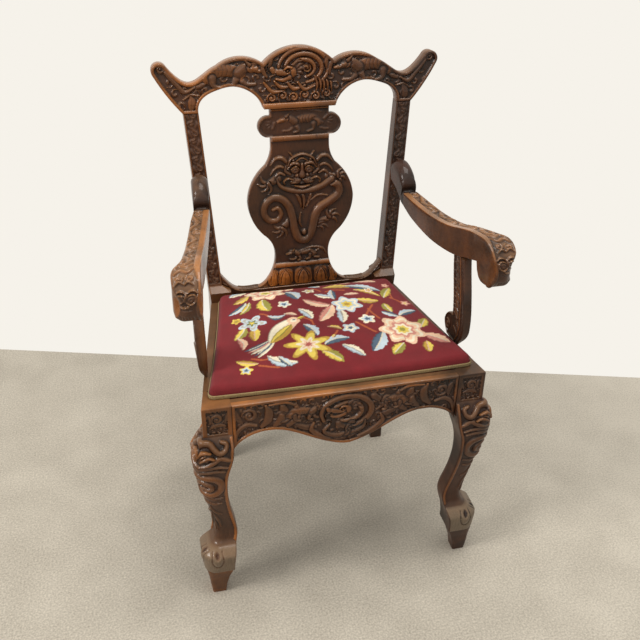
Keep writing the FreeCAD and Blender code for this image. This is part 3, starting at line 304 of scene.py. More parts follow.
def scroll(r, centre, radius, start, turns, wide, tall=2.8, worn=0.0):
    """A scroll that thickens towards its eye."""
    r.ridge(spiral(centre, radius, start, turns), (0.3 * wide, wide, wide), (0.6 * tall, tall), worn=worn)
    r.boss(centre, (0.9 * wide, 0.9 * wide), tall, worn=worn)


def turned(run, degrees):
    """A vector turned anticlockwise by an angle."""
    c, s = math.cos(math.radians(degrees)), math.sin(math.radians(degrees))
    return np.array([run[0] * c - run[1] * s, run[0] * s + run[1] * c])


class Figure:
    """Carves about a centre: each place is centre + size * point, and side -1 mirrors it."""

    def __init__(self, relief, at=(0, 0), size=1.0, side=1):
        self.relief, self.at, self.size, self.side = relief, at, size, side

    def put(self, *points):
        """The points' places on the relief."""
        x, y = self.at
        return [(x + self.side * self.size * a, y + self.size * b) for a, b in points]

    def ridge(self, points, width, height, **more):
        """A ridge whose widths are shares of the size; its height stays in millimetres."""
        self.relief.ridge(self.put(*points), np.multiply(width, self.size), height, **more)

    def boss(self, centre, size, height, turn=0.0, **more):
        """A domed oval whose length and width are shares of the size."""
        self.relief.boss(self.put(centre)[0], np.multiply(size, self.size), height, turn * self.side, **more)

    def groove(self, points, width, depth):
        """A cut, its width and depth in millimetres."""
        self.relief.groove(self.put(*points), width, depth)


def plume(r, base, tip, count, spread, wide, tall=2.2):
    """Tapered locks that fan from one base, the outer ones shorter."""
    base = np.array(base, float)
    run = np.array(tip, float) - base
    for k in np.linspace(-1, 1, count):
        end = base + turned(run, spread * k) * (1 - 0.15 * abs(k))
        r.ridge(bow(base, end, 0.15), (wide, wide, 0.6), (tall, tall, 0.8))


def claw(r, wrist, palm, size, tall):
    """A foreleg with a foot of four hooked toes."""
    r.ridge([wrist, palm], (1.2 * size, 0.7 * size), tall)
    wrist, palm = np.array(wrist, float), np.array(palm, float)
    run = (palm - wrist) / np.linalg.norm(palm - wrist)
    for turn in (-75, -28, 18, 62):
        end = palm + 1.5 * size * turned(run, turn)
        r.ridge(bow(palm, end, 0.25), (0.55 * size, 0.4 * size, 0.15), (tall, 0.5 * tall))


def beast(r, at, size, facing, worn=0.2):
    """A long-bodied animal in low relief: tail, trunk with ribs, legs, neck and a head in profile."""
    body = Figure(r, at, size, facing)
    # tail and far legs
    body.ridge([(-0.9, 0.05), (-1.15, 0.3), (-1.42, 0.34), (-1.62, 0.14)], (0.16, 0.15, 0.12, 1 / size),
               (4, 3.4, 2.4))
    body.ridge([(-0.72, 0.0), (-0.98, -0.3), (-1.28, -0.34)], (0.34, 0.2, 0.12), 4.0)
    body.ridge([(0.42, -0.05), (0.68, -0.32), (1.02, -0.34)], (0.3, 0.17, 0.13), 4.2)
    # trunk, haunch and shoulder with the near legs
    body.ridge([(-0.9, 0.0), (-0.5, 0.2), (0.0, 0.22), (0.5, 0.08)], (0.4, 0.56, 0.48, 0.42), (4.4, 5.4, 5.0),
               worn=worn)
    body.boss((-0.68, 0.02), (0.6, 0.52), 5.8, turn=25, sink=0.2, worn=worn)
    body.ridge([(-0.55, -0.05), (-0.5, -0.32), (-0.24, -0.42)], (0.34, 0.2, 0.14), 4.8)
    body.boss((0.4, 0.02), (0.46, 0.5), 5.6, sink=0.2, worn=worn)
    body.ridge([(0.34, -0.1), (0.24, -0.36), (0.46, -0.44)], (0.28, 0.18, 0.14), 5.0)
    for a in (-0.34, -0.19, -0.04, 0.11):
        body.groove([(a, 0.4), (a + 0.06, 0.2), (a, 0.02)], 1.6, 0.9)
    # neck, head, muzzle and ear, with eye and mouth
    body.ridge([(0.42, 0.1), (0.66, 0.26), (0.9, 0.28)], (0.42, 0.36, 0.3), 5.6, sink=0.25)
    body.boss((0.94, 0.26), (0.46, 0.38), 6.2, worn=worn)
    body.ridge([(0.98, 0.24), (1.22, 0.14), (1.36, 0.12)], (0.28, 0.2, 0.12), 5.6, worn=worn)
    body.ridge([(0.84, 0.36), (0.7, 0.5)], (0.18, 0.05), 5.0)
    body.groove([(1.0, 0.3), (1.05, 0.3)], 0.06 * size + 1, 2.0)
    body.groove([(1.08, 0.13), (1.22, 0.07), (1.34, 0.06)], 1.6, 1.6)


def dragon_head(r, at, size, worn):
    """A head in profile to the left: mane, horn, brow, eye, long snout with an open jaw and a whisker."""
    head = Figure(r, at, size, -1)
    plume(r, *head.put((-0.3, 0.1), (-1.2, 0.35)), 4, 40, 0.26 * size, 4.0)
    head.ridge([(-0.15, 0.32), (-0.55, 0.66), (-0.95, 0.66)], (0.26, 0.2, 0.6 / size), (5, 3.4))
    head.boss((-0.1, 0.06), (0.86, 0.76), 5.6, worn=worn)
    snout = [(0.1, 0.02), (0.5, 0.06), (0.86, 0.12), (1.0, 0.3)]
    head.ridge(snout, (0.5, 0.4, 0.28), (6.2, 5.4, 5.6), worn=worn)
    head.ridge([(-0.05, -0.24), (0.35, -0.4), (0.76, -0.32)], (0.34, 0.26, 0.14), 4.8, worn=worn)
    head.groove([(0.1, -0.16), (0.45, -0.2), (0.8, -0.14)], 2.6, 3.2)
    head.ridge([(-0.22, 0.3), (0.05, 0.36), (0.27, 0.2)], (0.12, 0.2, 0.1), 6.8, sink=0.3, worn=worn)
    head.boss((0.06, 0.14), (0.18, 0.16), 6.6, sink=0.8)
    head.groove([(0.78, 0.16), (0.83, 0.17)], 2.4, 1.8)
    head.ridge([(0.8, -0.04), (1.12, -0.2), (1.05, -0.52)], (0.12, 0.1, 0.4 / size), 3.2)


def mask(r, at):
    """A dragon's face from the front, in millimetres about its nose."""
    face = Figure(r, at)
    # jaw and skull
    face.ridge([(-54, -4), (-46, -22), (-26, -33), (0, -37), (26, -34), (46, -26), (62, -16)],
               (3, 9, 12, 13, 14, 16), (4, 5.6, 6, 6.2, 6.6, 7))
    face.boss((0, 0), (66, 68), 3.4, sink=0.2)
    for side in (-1, 1):
        half = Figure(r, at, side=side)
        # three locks of mane, the horn and the cheek
        half.ridge([(28, 22), (40, 34), (54, 34), (66, 20)], (7, 9, 7, 1.5), (5, 5, 3))
        half.ridge([(32, 12), (46, 18), (58, 12), (66, 0)], (5, 7, 5, 1.5), (4.4, 4.2, 3))
        half.ridge([(36, 0), (46, 4), (54, -2), (56, -10)], (5, 7, 5, 1.5), (4.4, 4, 2.4))
        half.ridge([(18, 28), (20, 38), (27, 47)], (7, 5, 1), (6, 4))
        half.ridge([(24, 0), (34, 8), (32, 20)], (6, 8, 4), 4.6)
        # brow and eye
        half.ridge([(2, 12), (10, 22), (22, 22), (31, 12)], (5, 9, 8, 3), (6, 7.4, 6))
        half.boss((14, 9), (20, 17), 7.8, sink=0.8)
        half.ridge([(5, 9), (13, 17), (23, 11)], (2.6, 3.4, 2.4), 8.4, sink=0.1)
        half.groove([(14, 8), (14.6, 8)], 4.2, 3.0)
        # muzzle, nostril and whisker
        half.boss((13, -14), (26, 16), 7.0, turn=-14)
        half.groove([(8, -12), (16, -10), (26, -14)], 1.6, 1.2)
        half.groove([(8, -16), (16, -15), (25, -18)], 1.6, 1.2)
        half.boss((9, -3), (13, 11), 8.6, sink=0.3)
        half.groove([(10, -5), (10.6, -5)], 3.2, 3.0)
        half.ridge([(18, -12), (30, -8), (38, -14), (36, -20)], (4, 5, 4, 2), 6.0)
    # crown, bridge of the nose, lip and mouth
    face.ridge([(-30, 18), (-22, 33), (0, 41), (22, 33), (30, 18)], (3, 5.5, 6, 5.5, 3), 5.6)
    face.ridge([(-12, 27), (0, 33), (12, 27)], (3, 5, 3), 5.6)
    face.ridge([(0, 20), (0, 8), (0, -2)], (7, 9, 16), (6.4, 7, 8.4))
    face.ridge([(-15, -24), (0, -28), (15, -24)], (4, 7, 4), 6.8, sink=0.3)
    face.groove([(-20, -21), (0, -23), (20, -21)], 2.8, 3.4)


def cloud_ground(r, step, tall, seed, where=None):
    """Small comma scrolls and leaves on a shaken lattice, which fill the ground between the figures."""
    chance = np.random.default_rng(seed)
    rows = np.arange(r.v.min(), r.v.max(), step)
    for i, v in enumerate(rows):
        for u in np.arange(r.u.min() + 0.5 * step * (i % 2), r.u.max(), step):
            spot = (u + chance.uniform(-0.2, 0.2) * step, v + chance.uniform(-0.2, 0.2) * step)
            start, turns = chance.uniform(0, 1), chance.choice([-0.8, 0.8])
            if where is not None and not where(*spot):
                continue
            r.ridge(spiral(spot, 0.5 * step, start, turns, 0.2), (0.4, 0.3 * step), tall, sink=0.3)


# Meshes from grids
def linked(name, data):
    """A new object of the scene that carries a mesh, a lamp or a camera."""
    made = bpy.data.objects.new(name, data)
    bpy.context.scene.collection.objects.link(made)
    return made


def make_piece(name, spots, faces, marks, material, body="chair_frame", crease=42):
    """One closed mesh with its point attributes, its faces turned outward and its crisp edges marked."""
    mesh = bpy.data.meshes.new(name)
    mesh.from_pydata(spots.reshape(-1, 3), [], faces)
    for label, values in marks.items():
        kind = "FLOAT_COLOR" if np.ndim(values) == 2 else "FLOAT"
        field = mesh.attributes.new(label, kind, "POINT")
        field.data.foreach_set("color" if kind == "FLOAT_COLOR" else "value", np.ravel(values))
    work = bmesh.new()
    work.from_mesh(mesh)
    bmesh.ops.recalc_face_normals(work, faces=work.faces)
    work.to_mesh(mesh)
    work.free()
    mesh.shade_smooth()
    mesh.set_sharp_from_angle(angle=math.radians(crease))
    mesh.materials.append(material)
    piece = linked(name, mesh)
    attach(piece, body)
    return piece


def on_both_sides(name, node, spots, marks, material, faces=None):
    """The right-hand carved piece and its mirror image, each in its node's place; rings need no faces."""
    faces = faces or tube(spots)
    for side, flip in (("right_", 1), ("left_", -1)):
        placed = spots.reshape(-1, 3) * (flip, 1, 1)
        piece = make_piece(side + name, placed, faces, marks, material)
        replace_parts(piece, side + node)


def grid_cells(r):
    """The cells of a relief whose middle lies inside the outline, and the edges round them."""
    inset = r.inset
    inside = (inset[:-1, :-1] + inset[1:, :-1] + inset[:-1, 1:] + inset[1:, 1:]) > 0
    number = np.arange(inset.size).reshape(inset.shape)
    cells = np.stack([number[:-1, :-1], number[:-1, 1:], number[1:, 1:], number[1:, :-1]], -1)[inside]
    used, cells = np.unique(cells, return_inverse=True)
    cells = cells.reshape(-1, 4)
    sides = np.stack([cells, np.roll(cells, -1, 1)], -1).reshape(-1, 2)
    code = sides[:, 0] * len(used) + sides[:, 1]
    back = sides[:, 1] * len(used) + sides[:, 0]
    return used, cells, sides[~np.isin(code, back)]


def board(face, edges, carve, rings, pitch=PITCH, behind=None):
    """A board cut to an outline: carved front, walls through rings of (inset, depth), and a back.

    The front is a grid over (u, v) whose outermost places are moved onto the outline. The back
    is the same grid at the last ring's depth, or at the depths that behind gives for its places.
    """
    margin = 2 * pitch
    r = Relief(edges.min((0, 1)) - margin, edges.max((0, 1)) + margin, pitch)
    spots = np.stack([r.u, r.v], -1).reshape(-1, 2)
    reach, nearest = to_outline(spots, edges)
    r.inset = reach.reshape(r.u.shape)
    slope = np.stack(np.gradient(r.inset)[::-1], -1).reshape(-1, 2)
    slope /= np.maximum(np.linalg.norm(slope, axis=1, keepdims=True), 1e-6)
    carve(r)
    used, cells, rim = grid_cells(r)
    loop = np.unique(rim)
    flat = spots[used].copy()
    flat[loop] = nearest[used][loop] + slope[used][loop] * rings[0][0]
    high = -r.rise.ravel()[used]
    high[loop] = rings[0][1]
    layers = [face.place(flat[:, 0], flat[:, 1], high)]
    hollow = [r.hollow().ravel()[used]]
    worn = [r.worn.ravel()[used]]
    count = len(used)
    place_of = np.zeros(count, int)
    place_of[loop] = np.arange(len(loop))
    last = rim
    faces = cells.tolist()
    for inset, depth in rings[1:-1]:
        ring = nearest[used][loop] + slope[used][loop] * inset
        layers.append(face.place(ring[:, 0], ring[:, 1], np.full(len(loop), float(depth))))
        hollow.append(np.full(len(loop), 0.35))
        worn.append(r.worn.ravel()[used][loop])
        here = count + place_of[rim]
        faces += np.stack([last[:, 1], last[:, 0], here[:, 0], here[:, 1]], -1).tolist()
        last, count = here, count + len(loop)
    inset, depth = rings[-1]
    rear = spots[used] + slope[used] * inset * unit(1 - r.inset.ravel()[used] / 25)[:, None]
    rear[loop] = nearest[used][loop] + slope[used][loop] * inset
    deep = behind(r, used, rear) if behind else np.full(len(used), float(depth))
    layers.append(face.place(rear[:, 0], rear[:, 1], deep))
    hollow.append(np.zeros(len(used)))
    worn.append(np.zeros(len(used)))
    here = count + rim
    faces += np.stack([last[:, 1], last[:, 0], here[:, 0], here[:, 1]], -1).tolist()
    faces += (count + cells[:, ::-1]).tolist()
    return np.vstack(layers), faces, {"hollow": np.concatenate(hollow), "worn": np.concatenate(worn)}, r, used


def tube(rings, closed_run=False):
    """Faces of rings of points, each ring closed on itself, with a flat end on the first and last."""
    count, size = rings.shape[:2]
    number = np.arange(count * size).reshape(count, size)
    if closed_run:
        number = np.vstack([number, number[:1]])
    here, above = number[:-1], number[1:]
    faces = np.stack([here, np.roll(here, -1, 1), np.roll(above, -1, 1), above], -1).reshape(-1, 4).tolist()
    if not closed_run:
        faces += [number[0].tolist(), number[-1][::-1].tolist()]
    return faces


def out_of(rings):
    """Unit normals of a tube's points, away from its axis."""
    around = np.roll(rings, -1, 1) - np.roll(rings, 1, 1)
    along = np.gradient(rings, axis=0)
    normal = np.cross(around, along)
    normal /= np.maximum(np.linalg.norm(normal, axis=-1, keepdims=True), 1e-9)
    outward = ((rings - rings.mean(1, keepdims=True)) * normal).sum(-1).mean()
    return normal * (1 if outward > 0 else -1)


def square_ring(x0, x1, y0, y1, radii, counts):
    """Rings round a rectangle with rounded corners, from (x0, y0) along y0 first.

    A place in a corner's square is drawn in towards the corner's centre until it lies on the arc.
    Also gives the distance from x0 or from y1, as it was before the corner was rounded.
    """
    legs = [np.linspace(0, 1, n, endpoint=False) for n in counts]
    low = np.zeros_like(legs[0])
    fx = np.concatenate([legs[0], 0 * legs[1] + 1, 1 - legs[2], 0 * legs[3]])
    fy = np.concatenate([low, legs[1], 0 * legs[2] + 1, 1 - legs[3]])
    x = x0[:, None] + (x1 - x0)[:, None] * fx
    y = y0[:, None] + (y1 - y0)[:, None] * fy
    front = np.arange(len(fx)) < counts[0]
    measure = np.where(front, x, (x1 + y0)[:, None] - y)
    corners = ((x0, y0, 1, 1), (x1, y0, -1, 1), (x1, y1, -1, -1), (x0, y1, 1, -1))
    for (cx, cy, sx, sy), radius in zip(corners, radii):
        mid_x, mid_y = (cx + sx * radius)[:, None], (cy + sy * radius)[:, None]
        dx, dy = x - mid_x, y - mid_y
        inside = (dx * sx < 0) & (dy * sy < 0)
        scale = radius[:, None] / np.maximum(np.hypot(dx, dy), 1e-6)
        x = np.where(inside, mid_x + dx * scale, x)
        y = np.where(inside, mid_y + dy * scale, y)
    return x, y, measure


# Colours and materials
def linear(code):
    """An sRGB hex colour as linear values."""
    parts = [int(code[i:i + 2], 16) / 255 for i in (1, 3, 5)]
    return tuple(c / 12.92 if c <= 0.04045 else ((c + 0.055) / 1.055) ** 2.4 for c in parts) + (1.0,)


def feed(node, inputs):
    """Gives a node its inputs, by name or in order: other nodes' outputs are linked, the rest are values."""
    for key, value in inputs.items() if isinstance(inputs, dict) else enumerate(inputs):
        if isinstance(value, bpy.types.NodeSocket):
            node.id_data.links.new(value, node.inputs[key])
        else:
            node.inputs[key].default_value = value


def add(tree, kind, inputs=(), stops=(), out=0, **settings):
    """Adds a node with its settings, its inputs and its colour stops, and gives one of its outputs."""
    node = tree.nodes.new("ShaderNode" + kind)
    for key, value in settings.items():
        setattr(node, key, value)
    feed(node, inputs)
    if stops:
        ramp = node.color_ramp.elements
        while len(ramp) < len(stops):
            ramp.new(0.5)
        for element, (position, colour) in zip(ramp, stops):
            element.position = position
            element.color = linear(colour) if isinstance(colour, str) else (colour, colour, colour, 1.0)
    return node.outputs[out]


def begin(name):
    """A new material with its tree and shader, and the place of each point of the surface in metres."""
    made = bpy.data.materials.new(name)
    made.use_nodes = True
    tree = made.node_tree
    return made, tree, tree.nodes["Principled BSDF"], add(tree, "TexCoord", out="Object")


def polished_wood(name, grain, carved=True, extra_painted_light=0.0):
    """Old hardwood, carved and waxed: dark in the cuts, rubbed to amber on the high edges.

    The fibres are about 1.2 mm apart and 30 mm long, and the pores are short dark dashes. The
    wax gives a clear sheen that goes dull where polish and dust lie in the cuts. Faces that point
    up get a painted sheen. The left side is painted brighter than the right, as painted light from
    the left, and its high edges are rubbed more to amber, as wear from handling.
    """
    made, tree, shader, here = begin(name)
    stretched = add(tree, "Mapping", {"Vector": here, "Scale": grain})
    fibre, pore, cloud, blotch = [
        add(tree, "TexNoise", {"Vector": vector, "Scale": scale, "Detail": detail}) for vector, scale, detail
        in ((stretched, 1.0, 5.0), (stretched, 2.6, 2.0), (here, 14.0, 3.0), (here, 55.0, 3.0))]
    across = add(tree, "SeparateXYZ", [here])
    # painted light from the left: brightens the tone towards -x, and sets how much edges are rubbed
    left_light_and_handling = add(tree, "MapRange",
                  {"Value": across, "From Min": 0.24, "From Max": -0.2, "To Min": extra_painted_light * 3})
    # level: from the bottom of the cuts, 0, to the high edges, 1
    if carved:
        hollow = add(tree, "Attribute", out="Fac", attribute_name="hollow")
        worn = add(tree, "Attribute", out="Fac", attribute_name="worn")
        level = add(tree, "MapRange", {"Value": hollow, "From Min": -2.0, "From Max": 2.0})
        mottled = add(tree, "Math", [blotch, 0.3, -0.15], operation="MULTIPLY_ADD")
        level = add(tree, "Math", [level, mottled], operation="ADD", use_clamp=True)
    else:
        level = add(tree, "Math", [blotch, 0.4, 0.25], operation="MULTIPLY_ADD")
    level = add(tree, "Math", [level, 0.37], operation="SUBTRACT")
    level = add(tree, "Math", [cloud, 0.35, level], operation="MULTIPLY_ADD")
    # painted light: the tone is brighter towards the left side
    level = add(tree, "Math", [left_light_and_handling, 0.3, level], operation="MULTIPLY_ADD", use_clamp=True)
    tone = add(tree, "ValToRGB", [level], stops=[
        (0.0, "#160C06"), (0.3, "#2C1A0F"), (0.5, "#452B1A"), (0.7, "#553620"), (1.0, "#694425")])
    # layers over that tone: reddish clouds, rubbed edges, grey wax dust with a painted highlight,
    # fibres, pores and a painted sheen on upward faces
    red = add(tree, "MapRange", {"Value": cloud, "From Min": 0.35, "From Max": 0.7, "To Max": 0.4})
    layers = [(red, linear("#5C2E16"), "MIX")]
    if carved:
        patchy = add(tree, "Math", [cloud, 2.8, -0.6], operation="MULTIPLY_ADD")
        touched = add(tree, "Math", [left_light_and_handling, 0.6, 0.4], operation="MULTIPLY_ADD")
        rubbed = add(tree, "Math", [patchy, touched], operation="MULTIPLY")
        rubbed = add(tree, "Math", [rubbed, worn], operation="MULTIPLY")
        high = add(tree, "MapRange", {"Value": level, "From Min": 0.3, "From Max": 0.6})
        rubbed = add(tree, "Math", [rubbed, high], operation="MULTIPLY", use_clamp=True)
        # grey wax dust and a painted highlight, where worn is below zero
        dust_and_highlight = add(tree, "Math", [worn, -1.0], operation="MULTIPLY", use_clamp=True)
        layers += [(rubbed, linear("#A8642A"), "MIX"), (dust_and_highlight, linear("#8C7C66"), "MIX")]
    streak = add(tree, "ValToRGB", [fibre], stops=[(0.3, 0.62), (0.55, 1.0), (0.75, 1.22)])
    dash = add(tree, "ValToRGB", [pore], stops=[(0.28, 0.55), (0.36, 1.0)])
    # painted sheen: pale brown mixed in on faces that point up, where light from above falls
    upward = add(tree, "SeparateXYZ", [add(tree, "NewGeometry", out="Normal")], out=2)
    upward_sheen = add(tree, "MapRange",
                {"Value": upward, "From Min": 0.2, "From Max": 1.0, "To Max": 0.25 + extra_painted_light})
    bare = add(tree, "MapRange", {"Value": level, "From Min": 0.1, "From Max": 0.4, "To Max": 2.0})
    painted_sheen = add(tree, "Math", [cloud, bare], operation="MULTIPLY")
    painted_sheen = add(tree, "Math", [upward_sheen, painted_sheen], operation="MULTIPLY")
    layers += [(0.8, streak, "MULTIPLY"), (0.6, dash, "MULTIPLY"), (painted_sheen, linear("#A87E54"), "MIX")]
    for share, colour, how in layers:
        tone = add(tree, "Mix", {0: share, 6: tone, 7: colour}, out=2, data_type="RGBA", blend_type=how)
    dull = add(tree, "MapRange",
               {"Value": level, "From Min": 0.1, "From Max": 0.6, "To Min": 0.6, "To Max": 0.3})
    rough = add(tree, "Math", [blotch, 0.12, dull], operation="MULTIPLY_ADD")
    bump = add(tree, "Bump", {"Height": fibre, "Strength": 0.3, "Distance": 0.0004})
    bump = add(tree, "Bump", {"Height": blotch, "Strength": 0.25, "Distance": 0.0012, "Normal": bump})
    feed(shader, {"Base Color": tone, "Roughness": rough, "Specular IOR Level": 0.25, "Coat Weight": 0.35,
                  "Coat Roughness": 0.13, "Normal": bump})
    return made


# Fibres run along one axis: noise cycles per metre, 40 along them and 800 across
ALONG_X = (40.0, 800.0, 800.0)
ALONG_Y = (800.0, 40.0, 800.0)
ALONG_Z = (800.0, 800.0, 40.0)
carved_across = polished_wood("carved_hardwood_across", ALONG_X)
carved_upright = polished_wood("carved_hardwood_upright", ALONG_Z)
# the arms get more painted sheen on their tops, and their right side is painted less dark
carved_arm = polished_wood("carved_hardwood_arm", ALONG_Y, extra_painted_light=0.14)
plain_across = polished_wood("plain_hardwood_across", ALONG_X, carved=False)
plain_deep = polished_wood("plain_hardwood_deep", ALONG_Y, carved=False)
plain_upright = polished_wood("plain_hardwood_upright", ALONG_Z, carved=False)


# Back: crest rail, splat and lower rail
def carve_crest(r):
    """Carving of the crest rail, u from its middle and v up along the rake from the seat."""
    cloud_ground(r, 21, 2.6, 3, lambda u, v: v > 412)
    for side in (-1, 1):
        half = Figure(r, side=side)
        # an animal on the lobe, a long scroll up the ear and leaves
        beast(r, *half.put((141, 464)), 52, -side, worn=0.5)
        half.ridge([(204, 446), (222, 438), (236, 452), (250, 468), (262, 484)], (4, 9, 9, 8, 5), 4.4)
        half.ridge([(196, 430), (212, 432), (226, 424)], (3, 7, 3), 3.6)
        scroll(r, *half.put((265, 483)), 9, 0.25, 1.2 * side, 5, 4.0)
        leaf(r, *half.put((212, 428), (215, 402)), 16, 3.6, worn=0.25)
        leaf(r, *half.put((66, 500), (80, 474)), 13, 4.0)
    # a coiled dragon in the middle, over waves
    for radius, wide, tall in ((41, 8, 5.0), (30, 9, 5.8), (18, 8, 6.0)):
        coil = oval((8, 472), (1.2 * radius, 0.9 * radius), 225, -80, 14)
        r.ridge(coil, (0.6 * wide, wide, 1.2 * wide, wide, 0.7 * wide), tall, scales=5.0, worn=0.3)
    r.boss((14, 472), (18, 15), 6.0, worn=0.2)
    r.ridge(spiral((14, 472), 8, 0.1, -1.2), (3, 5), 6.6)
    for k in range(6):
        scroll(r, (-56 + 22 * k, 418 + 4 * (k % 2)), 10, 0.6, -1.2, 6, 4.6, worn=0.5)
    for wave in (((-70, 448), (-54, 430), (-30, 432)), ((-50, 450), (-36, 438), (-12, 440)),
                 ((-28, 452), (-12, 434), (12, 440)), ((-4, 446), (10, 432), (30, 438))):
        r.ridge(wave, (4, 9, 3), (4.4, 5.4, 4), worn=0.5)
    for k in range(5):
        lock = [(30 + 8 * k, 456 - 3 * k), (35 + 7 * k, 440), (32 + 8 * k, 424)]
        r.ridge(lock, (4, 6, 1.5), (4.4, 5, 3), worn=0.3)
    for base, tip in (((60, 458), (74, 494)), ((54, 470), (62, 502)),
                      ((-58, 470), (-46, 502)), ((-64, 458), (-72, 492))):
        leaf(r, base, tip, 9, 4.2, worn=0.3)
    dragon_head(r, (-22, 464), 32, 0.8)
    r.rim(6.5, 3.6, worn=0.6)
    r.rise -= 3.6
    r.bead(402, 6.5, 3.4, 0.7, np.abs(r.u) < 76)


def carve_splat(r):
    """Carving of the splat, u from its middle and v up along the rake from the seat."""
    # capital: an animal turned to the left
    cloud_ground(r, 12, 1.8, 7, lambda u, v: 345 < v < 392)
    beast(r, (6, 365), 40, -1, worn=0.35)
    plume(r, (-52, 368), (-76, 362), 4, 38, 9, 4)
    plume(r, (50, 372), (76, 364), 4, 38, 9, 4)
    r.ridge([(-14, 390), (14, 391), (44, 386)], (3, 6, 3), 3.6, worn=0.3)
    # vase: a dragon that turns back on itself, seen from above, with its face to the front
    for wrist, palm, size in (((36, 150), (60, 163), 16), ((-22, 164), (-42, 147), 16),
                              ((58, 252), (78, 250), 14), ((-50, 254), (-68, 246), 16)):
        claw(r, wrist, palm, size, 4.6)
    plume(r, (34, 150), (58, 138), 3, 28, 7, 3.4)
    body = [(62, 240), (78, 232), (79, 214), (60, 199), (40, 187), (29, 170), (23, 145), (16, 126), (5, 117),
            (-8, 123), (-16, 144), (-20, 170), (-27, 194), (-42, 211), (-60, 214), (-75, 203), (-80, 184),
            (-70, 167), (-53, 166), (-44, 179), (-50, 192), (-61, 189)]
    r.ridge(body, (16, 19, 19, 18, 18, 17, 16, 14, 11, 7), (7.4, 7.8, 7.4, 7, 6.4, 6, 5), sink=0.6, worn=0.1)
    for end, start in (((-12, 222), (-1, 190)), ((3, 218), (3, 186)), ((20, 220), (8, 190))):
        r.ridge(bow(end, start, 0.08), (7, 8, 2), 4.4)
    r.ridge([(18, 204), (36, 214), (56, 212)], (3, 7, 2), 3.6)
    r.ridge([(-2, 178), (-5, 160), (0, 146)], (3, 7, 2), 3.4)
    r.boss((5, 134), (12, 14), 5.2)
    mask(r, (2, 262))
    # waist: a small lying animal
    beast(r, (2, 84), 27, -1, worn=0.1)
    r.ridge([(-6, 92), (20, 99), (44, 94), (52, 82)], (2, 5, 5, 2), 3.0)
    # foot: lotus petals under the lower bead
    foot = r.v < 56
    for u, wide in ((-62, 26), (64, 26), (-37, 36), (41, 36), (2, 42)):
        leaf(r, (u * 1.06, 14), (u * 0.96, 54), wide, 6.0, sag=0.0, worn=1.0)
        for side in (-1, 1):
            vein = bow((u + side * 0.3 * wide, 20), (u + side * 2, 50), -0.14 * side)
            r.ridge(vein, (1, 4, 1), 5.0, worn=1.0)
    r.worn = np.where(foot, np.maximum(r.worn, 0.6), r.worn)
    r.rise -= 2.6 * foot
    lip = (r.v > 342) & (r.v < 397)
    r.rise = np.where(lip, np.maximum(r.rise - 2.6, 1.2 * unit((5.5 - r.inset) / 2)), r.rise)
    # three beads across, nicked every 34 mm
    nick = 1 - 0.18 * (np.abs((r.u + 17) % 34 - 17) < 1.6)
    for middle, half, rubbed in ((337, 6, 0.5), (62.5, 5.5, 1.0), (396, 4, 0.4)):
        r.bead(middle, half, 4.6 * nick, rubbed)
    r.worn = np.maximum(r.worn, 0.35 * unit(1 - r.inset / 3))


def carve_lower_rail(r):
    """A low worn border and no figures."""
    r.rim(4.0, 1.2, worn=0.2)
    r.rise -= 0.6


def make_back():
    """Crest rail, splat and lower rail: boards cut to the outlines of their nodes."""
    for node, ahead, depth, carve, wood in (("crest_rail", 0.0, 26.0, carve_crest, carved_across),
                                            ("splat", 5.0, 21.0, carve_splat, carved_upright),
                                            ("lower_back_rail", 2.0, 24.0, carve_lower_rail, carved_across)):
        def set_back(r):
            """The carving, from a ground that lies behind the posts' faces."""
            carve(r)
            r.rise -= ahead

        edges = outline_of(node, LEANING, depth)
        rings = [(0.9, ahead + 0.8), (0.0, ahead + 2.2), (0.0, depth - 1.2), (0.9, depth)]
        spots, faces, marks, _, _ = board(LEANING, edges, set_back, rings)
        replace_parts(make_piece("carved_" + node, spots, faces, marks, wood), node)


# Rear posts
def carve_post(r):
    """Foliage between two rims on the post's face, u from its inner edge and v up from the seat."""
    for k, v in enumerate(np.arange(44, 396, 17.5)):
        side = 1 if k % 2 else -1
        scroll(r, (14.5 + 3.5 * side, v), 7.5, 0.25 + 0.5 * (k % 2), 1.1 * side, 4.2, 2.2)
        leaf(r, (14.5 - 4 * side, v - 7), (14.5 - 7.5 * side, v + 8), 6, 2.0, sag=0.2 * side)
        r.ridge(bow((14.5 + 8 * side, v + 4), (14.5 - 2 * side, v + 12), 0.3 * side), (1, 3.4, 1), 1.9)
    rim = unit((3.8 - np.minimum(r.u, 29.5 - r.u)) / 1.4)
    r.worn = 0.35 * rim
    r.rise = (np.maximum(r.rise, 2.4 * rim) - 2.4) * unit((r.v - 36) / 3)


